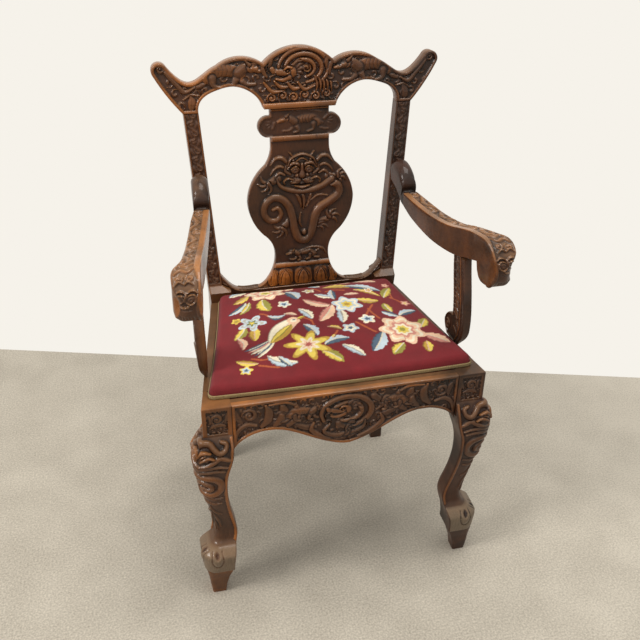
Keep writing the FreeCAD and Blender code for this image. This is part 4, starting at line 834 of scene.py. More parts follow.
def make_posts():
    """Rear posts: rounded rectangles whose four sides follow the post's height, then the foliage."""
    rise, slope = math.cos(RAKE), math.sin(RAKE)
    tenon = 31.5
    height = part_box("right_rear_post")[1].z / MM - tenon
    z = np.append(np.arange(0, height, PITCH), height)
    # heights of the square block that takes the rails, of the carving's foot and of the top
    block_low, block_high = 384.0, SEAT + 22.0
    shelf, top = SEAT + 32 * rise, SEAT + 397 * rise
    # how far the post leans outward in each millimetre of its height
    outward = (229.0 - 203.5) / 397.0
    outer = np.interp(z, [0, block_low, SEAT, top], [207, 203.5, 203.5, 203.5 + outward * 396])
    inner = np.interp(z, [0, block_low, block_high, shelf, top],
                      [179, 159.5, 159.5, 174 + outward * 32, 174 + outward * 396])
    front = SETBACK + np.interp(z, [0, 362, block_low, block_high, shelf, top],
                                [16, 1, -13.5, -13.5, 32 * slope, 397 * slope])
    back = SETBACK + np.interp(z, [0, 388, SEAT + 10, top], [50, 39, 39.6, 397 * slope + 28])
    steps = (22, 12, 12, 14)
    x, y, _ = square_ring(inner, outer, front, back, [np.full(len(z), 1.8)] * 4, steps)
    rings = np.stack([x, y + FRONT, np.broadcast_to(z[:, None], x.shape)], -1)
    r = Relief((-3, 25), (36, 400))
    carve_post(r)
    across = x - inner[:, None]
    up = np.broadcast_to(((z - SEAT) / rise)[:, None], x.shape)
    on_front = (np.arange(sum(steps)) <= steps[0])[None] & (up > 36) & (across > 1) & (across < 28.5)
    rings = rings + out_of(rings) * (r.at(r.rise, across, up) * on_front)[..., None]
    marks = r.marks(across, up, on_front, 0.15, 0.15)
    on_both_sides("rear_post_carved", "rear_post", rings * MM, marks, carved_upright)


# Front rail
def carve_front_rail(r):
    """Carving of the front rail, u from its middle and v up from the floor."""
    cloud_ground(r, 19, 2.6, 9)
    for side in (-1, 1):
        half = Figure(r, side=side)
        # three broad leaves, an animal, a scroll and foliage towards the leg
        for foot, tip, wide in (((112, 398), (98, 444), 17), ((136, 402), (124, 450), 19),
                                ((160, 404), (152, 450), 17)):
            blade = bow(*half.put(foot, tip), 0.2 * side)
            r.ridge(blade, (0.5 * wide, wide, wide, 0.4 * wide), (3.4, 5.4, 4.6), worn=0.1)
        half.ridge([(100, 444), (118, 452), (146, 450)], (5, 9, 5), 4.4)
        beast(r, *half.put((82, 420)), 33, -side, worn=0.3)
        scroll(r, *half.put((182, 432)), 15, 0.5, 1.2 * side, 9, 4.4)
        half.ridge([(170, 408), (188, 412), (204, 400), (208, 378)], (5, 10, 9, 3), 4.4)
        leaf(r, *half.put((196, 418), (206, 448)), 12, 3.8)
        leaf(r, *half.put((60, 386), (100, 400)), 13, 4)
        half.ridge([(22, 352), (48, 362), (68, 380), (64, 396)], (5, 11, 11, 5), 4.6, worn=0.2)
        leaf(r, *half.put((4, 350), (34, 366)), 12, 3.8)
    # a coiled dragon in the middle
    for radius, wide, tall in ((37, 13, 5.8), (22, 11, 6.2)):
        coil = oval((-2, 412), (1.3 * radius, 0.92 * radius), 205, -110, 12)
        r.ridge(coil, (0.6 * wide, wide, wide, 0.7 * wide), tall, scales=6.0, worn=0.2)
    tail = [(-34, 388), (-44, 372), (-24, 360), (6, 362), (30, 372), (34, 388)]
    r.ridge(tail, (5, 10, 11, 10, 5), 5.0, scales=6.0)
    r.boss((8, 386), (18, 14), 5.2)
    claw(r, (50, 438), (66, 426), 13, 4.4)
    claw(r, (-16, 386), (-2, 374), 12, 4.4)
    dragon_head(r, (-8, 416), 31, 0.8)
    r.rim(6.5, 3.8, worn=0.9)
    r.rise -= 3.8
    r.worn = np.maximum(r.worn, unit((r.v - 448) / 4))


def backing(node, depth):
    """A copy of a CAD node behind an upright plane: what lies further front is cut away, the cut closed."""
    work = bmesh.new()
    work.from_mesh(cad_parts[node].data)
    bmesh.ops.remove_doubles(work, verts=work.verts, dist=1e-6)
    cut = bmesh.ops.bisect_plane(work, geom=work.verts[:] + work.edges[:] + work.faces[:], dist=1e-6,
                                 plane_co=(0, (FRONT + depth) * MM, 0), plane_no=(0, -1, 0), clear_outer=True)
    sides = [part for part in cut["geom_cut"] if isinstance(part, bmesh.types.BMEdge)]
    bmesh.ops.edgeloop_fill(work, edges=sides)
    mesh = bpy.data.meshes.new(node + "_backing")
    work.to_mesh(mesh)
    work.free()
    return mesh


def make_front_rail():
    """The carved front of the rail, and the rest of its node behind it."""
    edges = outline_of("front_seat_rail", UPRIGHT, 0.0)
    rings = [(0.5, 0.8), (0.0, 2.0), (0.0, 11.0), (0.0, 12.0)]
    spots, faces, marks, _, _ = board(UPRIGHT, edges, carve_front_rail, rings)
    rail = make_piece("front_rail_carving", spots, faces, marks, carved_across)
    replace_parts(rail, "front_seat_rail")
    mesh = backing("front_seat_rail", 12.05)
    mesh.materials.clear()
    mesh.materials.append(plain_across)
    rear = linked("front_rail_backing", mesh)
    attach(rear, "chair_frame")


# Front legs
LEG_LEVELS = np.array([
    # height, outer side and inner side from the block's inner face, outer and hidden corner's radius
    (0, 58, 31, 5, 3), (22, 60.5, 28.5, 6, 3), (44, 62.5, 22.5, 8, 3), (65, 66, 13.5, 12, 3),
    (67, 69, 12, 24, 3), (78, 70.5, 11.4, 26, 7), (90, 72, 10.4, 28, 9), (106, 73, 8.4, 28, 10),
    (112, 70, 7.2, 25, 11), (117, 61, 6, 21, 12), (122, 51.5, 4.5, 17, 12), (128, 46.5, 3, 15.5, 13),
    (138, 44, 0.8, 15, 14), (150, 43.2, -0.2, 15, 15), (170, 44.8, 2.4, 16, 15),
    (193, 48.5, 7.2, 17.5, 15), (218, 53, 11.6, 20, 15), (242, 57.5, 14.6, 22.5, 15),
    (264, 61.6, 16.2, 24, 15), (286, 65.4, 16.2, 25, 15), (304, 68.2, 15, 25, 14),
    (320, 70.4, 12.4, 25, 12), (336, 72, 7.6, 24.5, 9), (352, 72.4, 3, 23.8, 6), (374, 67.3, 0, 15, 3),
    (398, 54, 0, 2, 2), (460, 54, 0, 2, 2)])


def carve_leg(r):
    """Carving on the leg's two show faces, u out from the block's inner face and v up from the floor."""
    # panel of the square block
    panel = (r.u > 8) & (r.u < 46) & (r.v > 402) & (r.v < 452)
    block = r.v > 398
    cloud_ground(r, 9, 2.6, 5, lambda u, v: v > 402)
    scroll(r, (27, 434), 13, 0.55, 1.5, 7, 4.6)
    leaf(r, (12, 418), (42, 412), 9, 4.2, sag=0.2)
    leaf(r, (40, 424), (44, 446), 6, 3.4)
    leaf(r, (14, 424), (11, 446), 6, 3.4)
    r.rise = np.where(block, np.where(panel, np.maximum(r.rise, 0) - 3.0, 0), r.rise)
    r.worn = np.where(block, np.where((r.u < 8) | (r.u > 46) | (r.v > 452), 0.6, 0.1), r.worn)
    # cloud scrolls on the knee
    low_cloud = [(4, 350), (16, 356), (28, 360), (42, 352), (56, 344), (70, 342), (80, 348)]
    r.ridge(low_cloud, (4, 9, 11, 10, 10, 7), 5.4, worn=0.2)
    high_cloud = [(78, 364), (70, 380), (57, 389), (44, 387), (36, 377), (27, 370), (17, 374), (14, 384),
                  (22, 388)]
    # worn below zero: a faint grey on the upper cloud, wax dust and a painted highlight
    r.ridge(high_cloud, (6, 11, 12, 12, 11, 10, 9, 7), (4.4, 7.0, 7.4, 6.0), worn=-0.15)
    r.boss((56, 367), (28, 22), 7.0, turn=20, worn=0.3)
    r.ridge([(44, 372), (58, 374), (70, 364)], (4, 8, 4), 8.0, sink=0.5, worn=0.5)
    r.ridge([(38, 360), (50, 364), (64, 356)], (4, 8, 4), 7.4, sink=0.5, worn=0.4)
    for k in range(2):
        r.ridge(bow((14 + 6 * k, 338 - 9 * k), (80, 332 - 9 * k), 0.1), (3, 9, 8), 4.4)
    # thick coil under the knee
    coil = [(80, 312), (60, 316), (40, 312), (28, 298), (30, 280), (46, 268), (66, 270)]
    r.ridge(coil, (8, 13, 15, 15, 14, 8), 5.6, worn=0.25)
    curl = [(80, 298), (62, 300), (48, 294), (46, 284), (56, 281), (68, 286)]
    r.ridge(curl, (7, 10, 10, 8, 5), 5.0, worn=0.1)
    for k in range(2):
        r.ridge(bow((26 + 3 * k, 256 - 16 * k), (70, 262 - 16 * k), -0.12), (3, 8, 4), 2.6)
    # leaves that run down to the ankle
    for blade, wide, tall in ((((60, 236), (46, 216), (30, 206)), (4, 8, 3), 2.4),
                              (((50, 212), (38, 190), (32, 168)), (4, 8, 3), 2.2),
                              (((56, 196), (44, 176), (40, 156)), (3, 6, 3), 2.0)):
        r.ridge(blade, wide, tall)
    # polished toe with a tongue inside a ring
    toe = unit((124 - r.v) / 5) * unit((r.v - 67) / 2)
    r.rise = np.where(toe > 0, 1.2 * toe, r.rise)
    r.boss((45, 100), (17, 26), 2.8, sink=0.2)
    r.groove([(35, 116), (33.5, 100), (38, 88), (45, 84), (52, 88), (56.5, 100), (55, 116)], 2.6, 1.6)
    r.groove([(45, 112), (45, 108)], 7.0, 4.5)
    # worn below zero paints the raised toe grey: wax dust and a painted highlight
    r.worn = np.where(toe > 0, -0.6 * toe * (r.rise > 0.3), r.worn)
    r.worn = np.where(r.v < 68, 0.45, r.worn)
    # narrow rim along the inner edge
    heights = np.array([130, 148, 170, 193, 242, 286, 320, 352, 392])
    inner = np.interp(heights, LEG_LEVELS[:, 0], LEG_LEVELS[:, 2])
    r.ridge(np.stack([inner + 3, heights], -1), 7.0, 2.6, worn=0.9)


def make_legs():
    """Front legs: each height's rounded square, then the carving; the block's top makes room for the seat."""
    z = np.append(np.arange(0, 447, PITCH), [447, 447.01, 450, 454, 458, 459.4, 460])
    drawn = [np.interp(z, LEG_LEVELS[:, 0], LEG_LEVELS[:, k]) for k in range(1, 5)]
    weights = np.ones(9) / 9
    evened = [np.convolve(np.pad(values, 4, mode="edge"), weights, "valid") for values in drawn]
    outer, inner, outer_round, hidden_round = np.where((z > 74) & (z < 395), evened, drawn)
    outer = outer - unit(z - 459) * 0.8
    x0, x1 = BLOCK_IN + inner, BLOCK_IN + outer
    y0, y1 = BLOCK - outer, BLOCK - inner
    sharp = np.full(len(z), 1.6)
    steps = (52, 52, 20, 20)
    x, y, measure = square_ring(x0, x1, y0, y1, [sharp, outer_round, sharp, hidden_round], steps)
    # above the knee the outer side turns in by the slope of the side rail
    rail_slope = 0.1753
    share = unit((z - 352) / 30)[:, None] * rail_slope
    x = x - share * (y - y0[:, None]) * (x - x0[:, None]) / (x1 - x0)[:, None]
    columns = np.arange(sum(steps))
    carved = ((columns < steps[0] + steps[1]) & (columns > 1))[None] & np.ones_like(x, bool)
    rings = np.stack([x, y + FRONT, np.broadcast_to(z[:, None], x.shape)], -1)
    r = Relief((-6, 0), (84, 462))
    carve_leg(r)
    out = measure - BLOCK_IN
    up = np.broadcast_to(z[:, None], x.shape)
    lift = np.where(carved, r.at(r.rise, out, up), 0)
    lift = np.where(up > 398, np.minimum(lift, 0), lift)
    rings = rings + out_of(rings) * lift[..., None]
    # rebate for the seat in the block's inner corner, cut along two planes
    limit_x, limit_y = 251.3, 26.7 + FRONT - 1.4
    notch = (up > 447) & (rings[..., 0] < limit_x) & (rings[..., 1] > limit_y)
    near_x = (limit_x - rings[..., 0]) < (rings[..., 1] - limit_y)
    rings[..., 0] = np.where(notch & near_x, limit_x, rings[..., 0])
    rings[..., 1] = np.where(notch & ~near_x, limit_y, rings[..., 1])
    marks = r.marks(out, up, carved, 0.0, 0.2)
    on_both_sides("front_leg_carved", "front_leg", rings * MM, marks, carved_upright)


# Arms
# Distance behind the front rail and height, from the post to the rolled end: places of the same number
# on the top and on the underside face each other
ARM_TOP = [
    (399.1, 732.2), (393, 738.5), (385.5, 741), (374, 739.5), (360, 734.5), (348, 726.5), (339.5, 714),
    (337, 702), (340.5, 692.5), (337, 688.5), (330, 690), (290, 686), (225, 685), (162, 693), (100, 711),
    (70, 717), (38.5, 719), (18, 712.5), (7, 704), (-1, 694), (-4.5, 682), (-5, 664), (-1.5, 649),
    (8, 637.5), (23.5, 632), (38, 636.5), (47, 648)]
ARM_UNDER = [
    (396.6, 699.3), (386, 696), (377, 692.5), (366, 688.8), (357, 683), (350, 678), (345, 674),
    (341, 671.5), (338, 669.5), (334, 667.5), (328, 665), (290, 650), (225, 639), (165, 641), (115, 650),
    (90, 659), (70, 665), (60, 668), (57, 669), (55, 669.5), (54, 670), (53.5, 670), (53, 670.5),
    (53, 671), (53, 671.2), (53, 671.4), (53, 671.5)]


def arm_inner(y):
    """X of the arm's inner side at a distance behind the front rail."""
    far = 336.5
    main = 250 - 53 * y / far + 4 * np.sin(np.pi * unit(y / far))
    front = np.interp(y, [-9, -5, -1, 6, 14, 40, 70], [262, 256, 252, 250.3, 249.6, 246.5, 241.4])
    return np.where(y < 70, front, np.where(y > far, np.interp(y, [far, 400], [197, 191]), main))


def arm_outer(y):
    """X of the arm's outer side: it swells out smoothly towards the rolled end."""
    swell = smooth([(-9, 279), (-5, 289), (2, 295), (14, 297), (28, 296.5), (44, 292), (58, 284.5),
                    (74, 277.5), (92, 273), (110, 270.6)])
    front = np.interp(y, swell[:, 0], swell[:, 1])
    return np.where(y < 110, front, arm_inner(y) + np.interp(y, [70, 300, 336, 400], [34.5, 34, 31, 34]))


def carve_arm(r):
    """Carving of the arm's top, u from its inner edge, v forward along it to the rolled end's front."""
    # waving stem between the smooth rim and the outer edge, with a scroll and leaves in each bend
    v = np.arange(52, 328, 7.0)
    r.ridge(np.stack([28 - 7 * np.cos(np.pi * (v - 72) / 36), v], -1), 9.0, 3.4, worn=0.4)
    for k, v in enumerate(np.arange(72, 330, 36)):
        side = 1 if k % 2 else -1
        scroll(r, (28 - 8 * side, v - 3), 9, 0.25, 1.3 * side, 6, 3.8, worn=0.3)
        leaf(r, (28 + 2 * side, v - 12), (28 + 12 * side, v + 6), 8, 3.4)
        leaf(r, (28 - 2 * side, v + 9), (28 - 12 * side, v + 17), 8, 3.0)
    # brows and curls above the face of the rolled end
    r.ridge([(14, 52), (24, 44), (36, 50), (42, 40)], (3, 7, 4), 3.0, worn=0.4)
    r.ridge([(12, 36), (22, 28), (34, 34), (43, 24)], (3, 8, 4), 3.2, worn=0.4)
    for eye, start, turns in (((18, 16), 0.2, -1.2), ((36, 14), 0.3, 1.2)):
        scroll(r, eye, 8, start, turns, 4.5, 3.0, worn=0.4)
    for brow in (((13, 2), (20, 8), (27, 3)), ((29, 4), (36, 9), (43, 2))):
        r.ridge(brow, (2, 5, 2), 3.4)
    # the face: lids and eyes, nose, lip, mouth and the toes under it
    for u in (14, 34):
        r.ridge(bow((u + 9, -13), (u - 9, -13), -0.3), (2, 5, 2), 3.4)
        r.boss((u, -22), (15, 15), 3.2)
        r.ridge(spiral((u, -22), 8, 0.2, 1.3, 1.0), 3.0, 4.4, sink=0.1)
        r.groove([(u, -22), (u + 0.4, -22)], 2.6, 1.8)
    r.boss((24, -18), (5, 18), 4.4)
    r.ridge([(16, -34), (27.5, -38), (39, -34)], (2, 5, 2), 3.6)
    r.groove([(12, -41), (27, -44), (44, -41)], 2.4, 1.6)
    for u in np.linspace(15, 41, 6):
        r.groove([(u, -58), (u, -66)], 2.6, 1.6)


def make_arms():
    """Arms: rings between the top's and the underside's line, arm_inner to arm_outer wide, then carved."""
    line = smooth(ARM_TOP, 18)
    steps = lengths(line)
    even = np.linspace(0, steps[-1], int(steps[-1] / PITCH))
    top, under = [np.stack([np.interp(even, steps, drawn[:, k]) for k in (0, 1)], -1)
                  for drawn in (line, smooth(ARM_UNDER, 18))]
    # along runs back from the upper edge of the rolled end's face
    face_top = np.argmin(np.hypot(top[:, 0] - 7, top[:, 1] - 704))
    along = even[face_top] - even
    down = under - top
    down /= np.maximum(np.linalg.norm(down, axis=1, keepdims=True), 1e-6)
    # how much each ring belongs to the plain knuckle over the post, and to the rolled end
    knuckle = unit((top[:, 0] - 334) / 10) * np.clip((402 - top[:, 0]) / 6, 0.3, 1)
    rolled = unit(-along / 20)
    # places round a ring: inner wall, carved top, outer wall and underside; share of the way up and over
    wall, strip, base = 14, 30, 10
    share = np.concatenate([np.linspace(0, 1, wall, endpoint=False), np.ones(strip),
                            np.linspace(1, 0, wall, endpoint=False), np.zeros(base)])
    over = np.concatenate([np.zeros(wall), np.linspace(0, 1, strip, endpoint=False), np.ones(wall),
                           np.linspace(1, 0, base, endpoint=False)])
    spot = under[:, None] + (top - under)[:, None] * share[None, :, None]
    y, z = spot[..., 0], spot[..., 1]
    # seen from the front, the rolled end's lower corners are rounded
    low, radius = 632.0, 6
    above = np.clip(low + radius - z, 0, radius)
    tuck = np.where(y < 60, radius - np.sqrt(np.clip(radius ** 2 - above ** 2, 0, None)), 0)
    left, right = arm_inner(y) + tuck, arm_outer(y) - tuck
    x = left + (right - left) * over
    width = right - left
    # rounded upper edges: a place within the radius soft of an edge drops onto the arc
    edge = np.minimum(over, 1 - over) * width
    soft = (2.2 + 14 * knuckle)[:, None] + np.where(over < 0.5, 4, 15) * rolled[:, None]
    arc = soft - np.sqrt(np.clip(soft ** 2 - (soft - edge) ** 2, 0, None))
    drop = np.where((share == 1)[None] & (edge < soft), arc, 0)
    length = np.linalg.norm(top - under, axis=1)[:, None]
    side = ((share < 1) & (share > 0))[None]
    squeeze = np.where(side, share[None] * np.minimum(soft, 0.4 * length), 0)
    shift = np.minimum(drop + squeeze, 0.45 * length)
    y = y + down[:, None, 0] * shift
    z = z + down[:, None, 1] * shift
    rings = np.stack([x, y + FRONT, z], -1)
    r = Relief((-2, -100), (52, 345))
    carve_arm(r)
    # a smooth rim along the inner edge, narrower towards the rolled end
    rim = 12 - 7 * unit((44 - r.v) / 40)
    rubbed = unit((rim - r.u) / 2) * unit((r.v + 40) / 20)
    r.rise = np.where(r.u < rim, 0.6, r.rise - 1.6)
    r.rise = np.where(r.v < -44, np.minimum(r.rise, 0), r.rise)
    r.worn = np.maximum(r.worn, rubbed)
    on_top = ((share == 1) & (over > 0.03) & (over < 0.96))[None]
    across = over[None] * width
    up = np.broadcast_to(along[:, None], x.shape)
    plain = unit((332 - top[:, 0]) / 3)[:, None]
    fade = unit((1 - over[None]) * width / 5)
    lift = np.where(on_top, r.at(r.rise, across, up), 0) * plain * fade
    rings = rings + out_of(rings) * lift[..., None]
    hollow = np.where(on_top, r.at(r.hollow(), across, up), 0.0) * plain
    flank = np.interp(up, [-60, 0, 90, 200], [0.8, 0.7, 0.2, 0.3])
    marks = {"hollow": (hollow - 1.6 * (1 - plain)).ravel(),
             "worn": (np.where(on_top, r.at(r.worn, across, up), flank) * plain).ravel()}
    on_both_sides("arm_carved", "arm", rings * MM, marks, carved_arm)


# Arm supports
def carve_support(r):
    """Leaves, a scroll and a bare rib on the support's sides, u back from the front rail and v up."""
    for v in np.arange(520, 628, 17):
        u = np.interp(v, [500, 560, 630], [112, 116, 130])
        leaf(r, (u - 10, v), (u + 14, v + 12), 9, 2.6, worn=0.4)
        r.ridge(bow((u - 6, v - 3), (u + 16, v + 1), 0.2), (2, 5, 2), 2.4)
    scroll(r, (148, 482), 12, 0.0, 1.3, 5.5, 3.0)
    leaf(r, (98, 476), (126, 492), 10)
    leaf(r, (100, 488), (112, 512), 10)
    r.rim(4.0, 2.6, worn=0.3)
    # the rib follows the front edge, with a fine roll beside it
    front = np.interp(r.v, [460, 468, 484, 508, 564, 615, 650], [98, 93, 82, 77, 83, 97, 107])
    rib = unit((14 - (r.u - front)) / 3)
    r.rise = np.where(rib > 0, 2.8 - 0.16 * (r.u - front), r.rise)
    r.rise = np.maximum(r.rise, 3.2 * np.exp(-((r.u - front - 15) / 2.2) ** 2))
    r.worn = np.maximum(r.worn, 0.95 * np.exp(-((r.u - front - 13) / 6) ** 2))
    r.rise -= 2.8


def make_supports():
    """Arm supports: boards cut to the side outline, carved inside and outside."""
    face = side_face(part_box("right_arm_support")[0].x / MM)
    edges = outline_of("right_arm_support", face, 0.0)
    thick = 17.0

    def outside(r, used, rear):
        """The outer face: it tapers in towards the rail at the foot and carries the same carving."""
        taper = 13.0 * unit((502 - rear[:, 1]) / 42) ** 1.6
        return thick - taper + np.clip(r.rise.ravel()[used], -2.4, 2) * (rear[:, 1] > 504)

    rings = [(0.8, 0.8), (0.0, 2.0), (0.0, 4.0), (0.8, thick)]
    spots, faces, marks, _, _ = board(face, edges, carve_support, rings, behind=outside)
    on_both_sides("arm_support_carved", "arm_support", spots, marks, carved_upright, faces)


# Drop-in seat
def seat_loop(inset=0.0, radius=13.0, count=24):
    """The seat's outline: four sides that bow by a parabola, their corners cut by a short curve."""
    half_front, half_back, near, far = 250.5, 186.0, 27.5, 362.0
    slope = (half_front - half_back) / (far - near)
    side = inset * math.hypot(1, slope)
    front = half_front - side - slope * inset
    back = half_back - side + slope * inset
    near, far = near + inset, far - inset
    marks = np.array([(-front, near), (front, near), (back, far), (-back, far)])
    sides = []
    for i, swell in enumerate((-5.0, 4.0, 2.8, 4.0)):
        a, b = marks[i], marks[(i + 1) % 4]
        run = (b - a) / np.linalg.norm(b - a)
        length = np.linalg.norm(b - a)
        t = np.linspace(radius / length, 1 - radius / length, count)[:, None]
        sides.append(a + (b - a) * t + np.array([-run[1], run[0]]) * swell * 4 * t * (1 - t))
    points = []
    for i in range(4):
        points.append(sides[i])
        start, end = sides[i][-1], sides[(i + 1) % 4][0]
        t = np.linspace(0, 1, 8)[1:-1, None]
        corner = marks[(i + 1) % 4] * 0.8 + (start + end) * 0.1
        points.append((1 - t) ** 2 * start + 2 * t * (1 - t) * corner + t ** 2 * end)
    return np.vstack(points)


def paired(loop):
    """A closed loop of points as its edges."""
    return np.stack([loop, np.roll(loop, -1, 0)], 1)


def cushion_height(inset, u, v):
    """Height above the rails: a quarter-round shoulder, then a crown that levels out with the inset."""
    inset = np.clip(inset, 0, None)
    shoulder = 13 * arch(1 - unit(inset / 11))
    crown = 7.0 * (1 - np.exp(-(inset / 48) ** 1.1))
    uneven = 0.7 * np.sin(u / 47 + 1) * np.sin(v / 39) * unit(inset / 60)
    return 9 + shoulder + crown + uneven


def pushed_up(loop):
    """How far the pad's push lifts the cover: a cloth simulation of a coarse cover held by its sides.

    Gravity is off, and no place moves more than 9 mm up or 3 mm down.
    """
    def dome(r):
        """The crown before it is pushed."""
        r.rise = cushion_height(r.inset, r.u, r.v)

    spots, faces, _, r, used = board(LEVEL, paired(loop), dome, [(0.0, -9.0), (0.0, 6.0)], pitch=8.0)
    lift = np.zeros(r.u.shape)
    mesh = bpy.data.meshes.new("resting_cover")
    mesh.from_pydata(spots.reshape(-1, 3), [], faces)
    piece = linked("resting_cover", mesh)
    held = np.ones(len(spots), bool)
    held[:len(used)] = r.inset.ravel()[used] < 7
    group = piece.vertex_groups.new(name="held")
    group.add(np.flatnonzero(held).tolist(), 1.0, "REPLACE")
    push = piece.modifiers.new("push", "CLOTH")
    push.settings.use_pressure = True
    push.settings.uniform_pressure_force = 4.0
    push.settings.vertex_group_mass = "held"
    push.settings.effector_weights.gravity = 0.0
    push.collision_settings.use_collision = False
    frames, lowest, highest = 20, -3, 9
    for number in range(1, frames + 1):
        bpy.context.scene.frame_set(number)
    settled = np.empty(3 * len(spots))
    piece.evaluated_get(bpy.context.evaluated_depsgraph_get()).data.vertices.foreach_get("co", settled)
    moved = (settled.reshape(-1, 3) - spots.reshape(-1, 3))[:len(used), 2] / MM
    lift.ravel()[used] = np.clip(moved, lowest, highest)
    bpy.context.scene.frame_set(1)
    bpy.data.objects.remove(piece)
    bpy.data.meshes.remove(mesh)
    return r, softened(lift, 1)


WOOLS = {
    "red": "#74141C", "deep_red": "#64181A", "rose": "#D28E7E", "pale_rose": "#F0C8A6", "blush": "#B25A50",
    "cream": "#F2E8CC", "yellow": "#E6CD5C", "gold": "#C09A3C", "olive": "#98923E", "moss": "#6C7242",
    "blue": "#7F9DBB", "pale_blue": "#C2D2DA", "slate": "#506478", "grey": "#B6B1A4", "bark": "#AE562E"}


class Needlework:
    """Wool colours on the seat, one for each stitch, in millimetres on the level seat."""

    def __init__(self, u, v):
        self.u, self.v = u, v
        chance = np.random.default_rng(11)
        self.shade = 1 + 0.10 * (chance.random(u.shape) - 0.5)
        self.colour = np.empty(u.shape + (3,))
        self.colour[:] = linear(WOOLS["red"])[:3]

    def lay(self, where, wool, shade=1.0):
        """Works the chosen stitches in one wool."""
        self.colour[where] = np.array(linear(WOOLS[wool])[:3]) * shade

    def petals(self, centre, size, count, wools, turn=0.0, depth=0.3, squash=1.0):
        """Rings of petals: the edge of each ring waves with the cosine of count times the angle."""
        du, dv = self.u - centre[0], (self.v - centre[1]) / squash
        angle = np.arctan2(dv, du) + turn
        for k, wool in enumerate(wools):
            ring = size * (1 - k / len(wools))
            wave = 1 - depth * (0.5 - 0.5 * np.cos(count * angle + 0.25 * k))
            self.lay(np.hypot(du, dv) < ring * wave, wool)

    def leaf(self, base, tip, wide, sag, wools, teeth=0.26):
        """A toothed leaf with a vein: its width follows a sine along it, and sag bends it by a parabola."""
        run = np.array(tip, float) - base
        length = np.linalg.norm(run)
        run /= length
        du, dv = self.u - base[0], self.v - base[1]
        along = (du * run[0] + dv * run[1]) / length
        off = dv * run[0] - du * run[1] - 4 * sag * length * along * (1 - along)
        tooth = 1 - teeth / 2 + teeth * ((along * length / 12 + 0.04 * np.abs(off)) % 1)
        half = 0.55 * wide * np.sin(np.pi * unit(along)) ** 0.7 * tooth
        body = (along > 0) & (along < 1) & (np.abs(off) < half)
        self.lay(body & (off >= 0), wools[0])
        self.lay(body & (off < 0), wools[1])
        self.lay(body & (off < 2.4 - half), wools[1], 0.5)
        self.lay(body & (np.abs(off) < 1.2) & (along < 0.85), wools[2], 0.8)

    def twig(self, points, wide, wool):
        """A line of one width along a curve."""
        line = smooth(points, 8)
        gap = np.full(self.u.shape, 99.0)
        for a, b in zip(line[:-1], line[1:]):
            run = b - a
            share = ((self.u - a[0]) * run[0] + (self.v - a[1]) * run[1]) / max((run ** 2).sum(), 1e-6)
            t = unit(share)
            gap = np.minimum(gap, np.hypot(self.u - a[0] - t * run[0], self.v - a[1] - t * run[1]))
        self.lay(gap < wide / 2, wool)


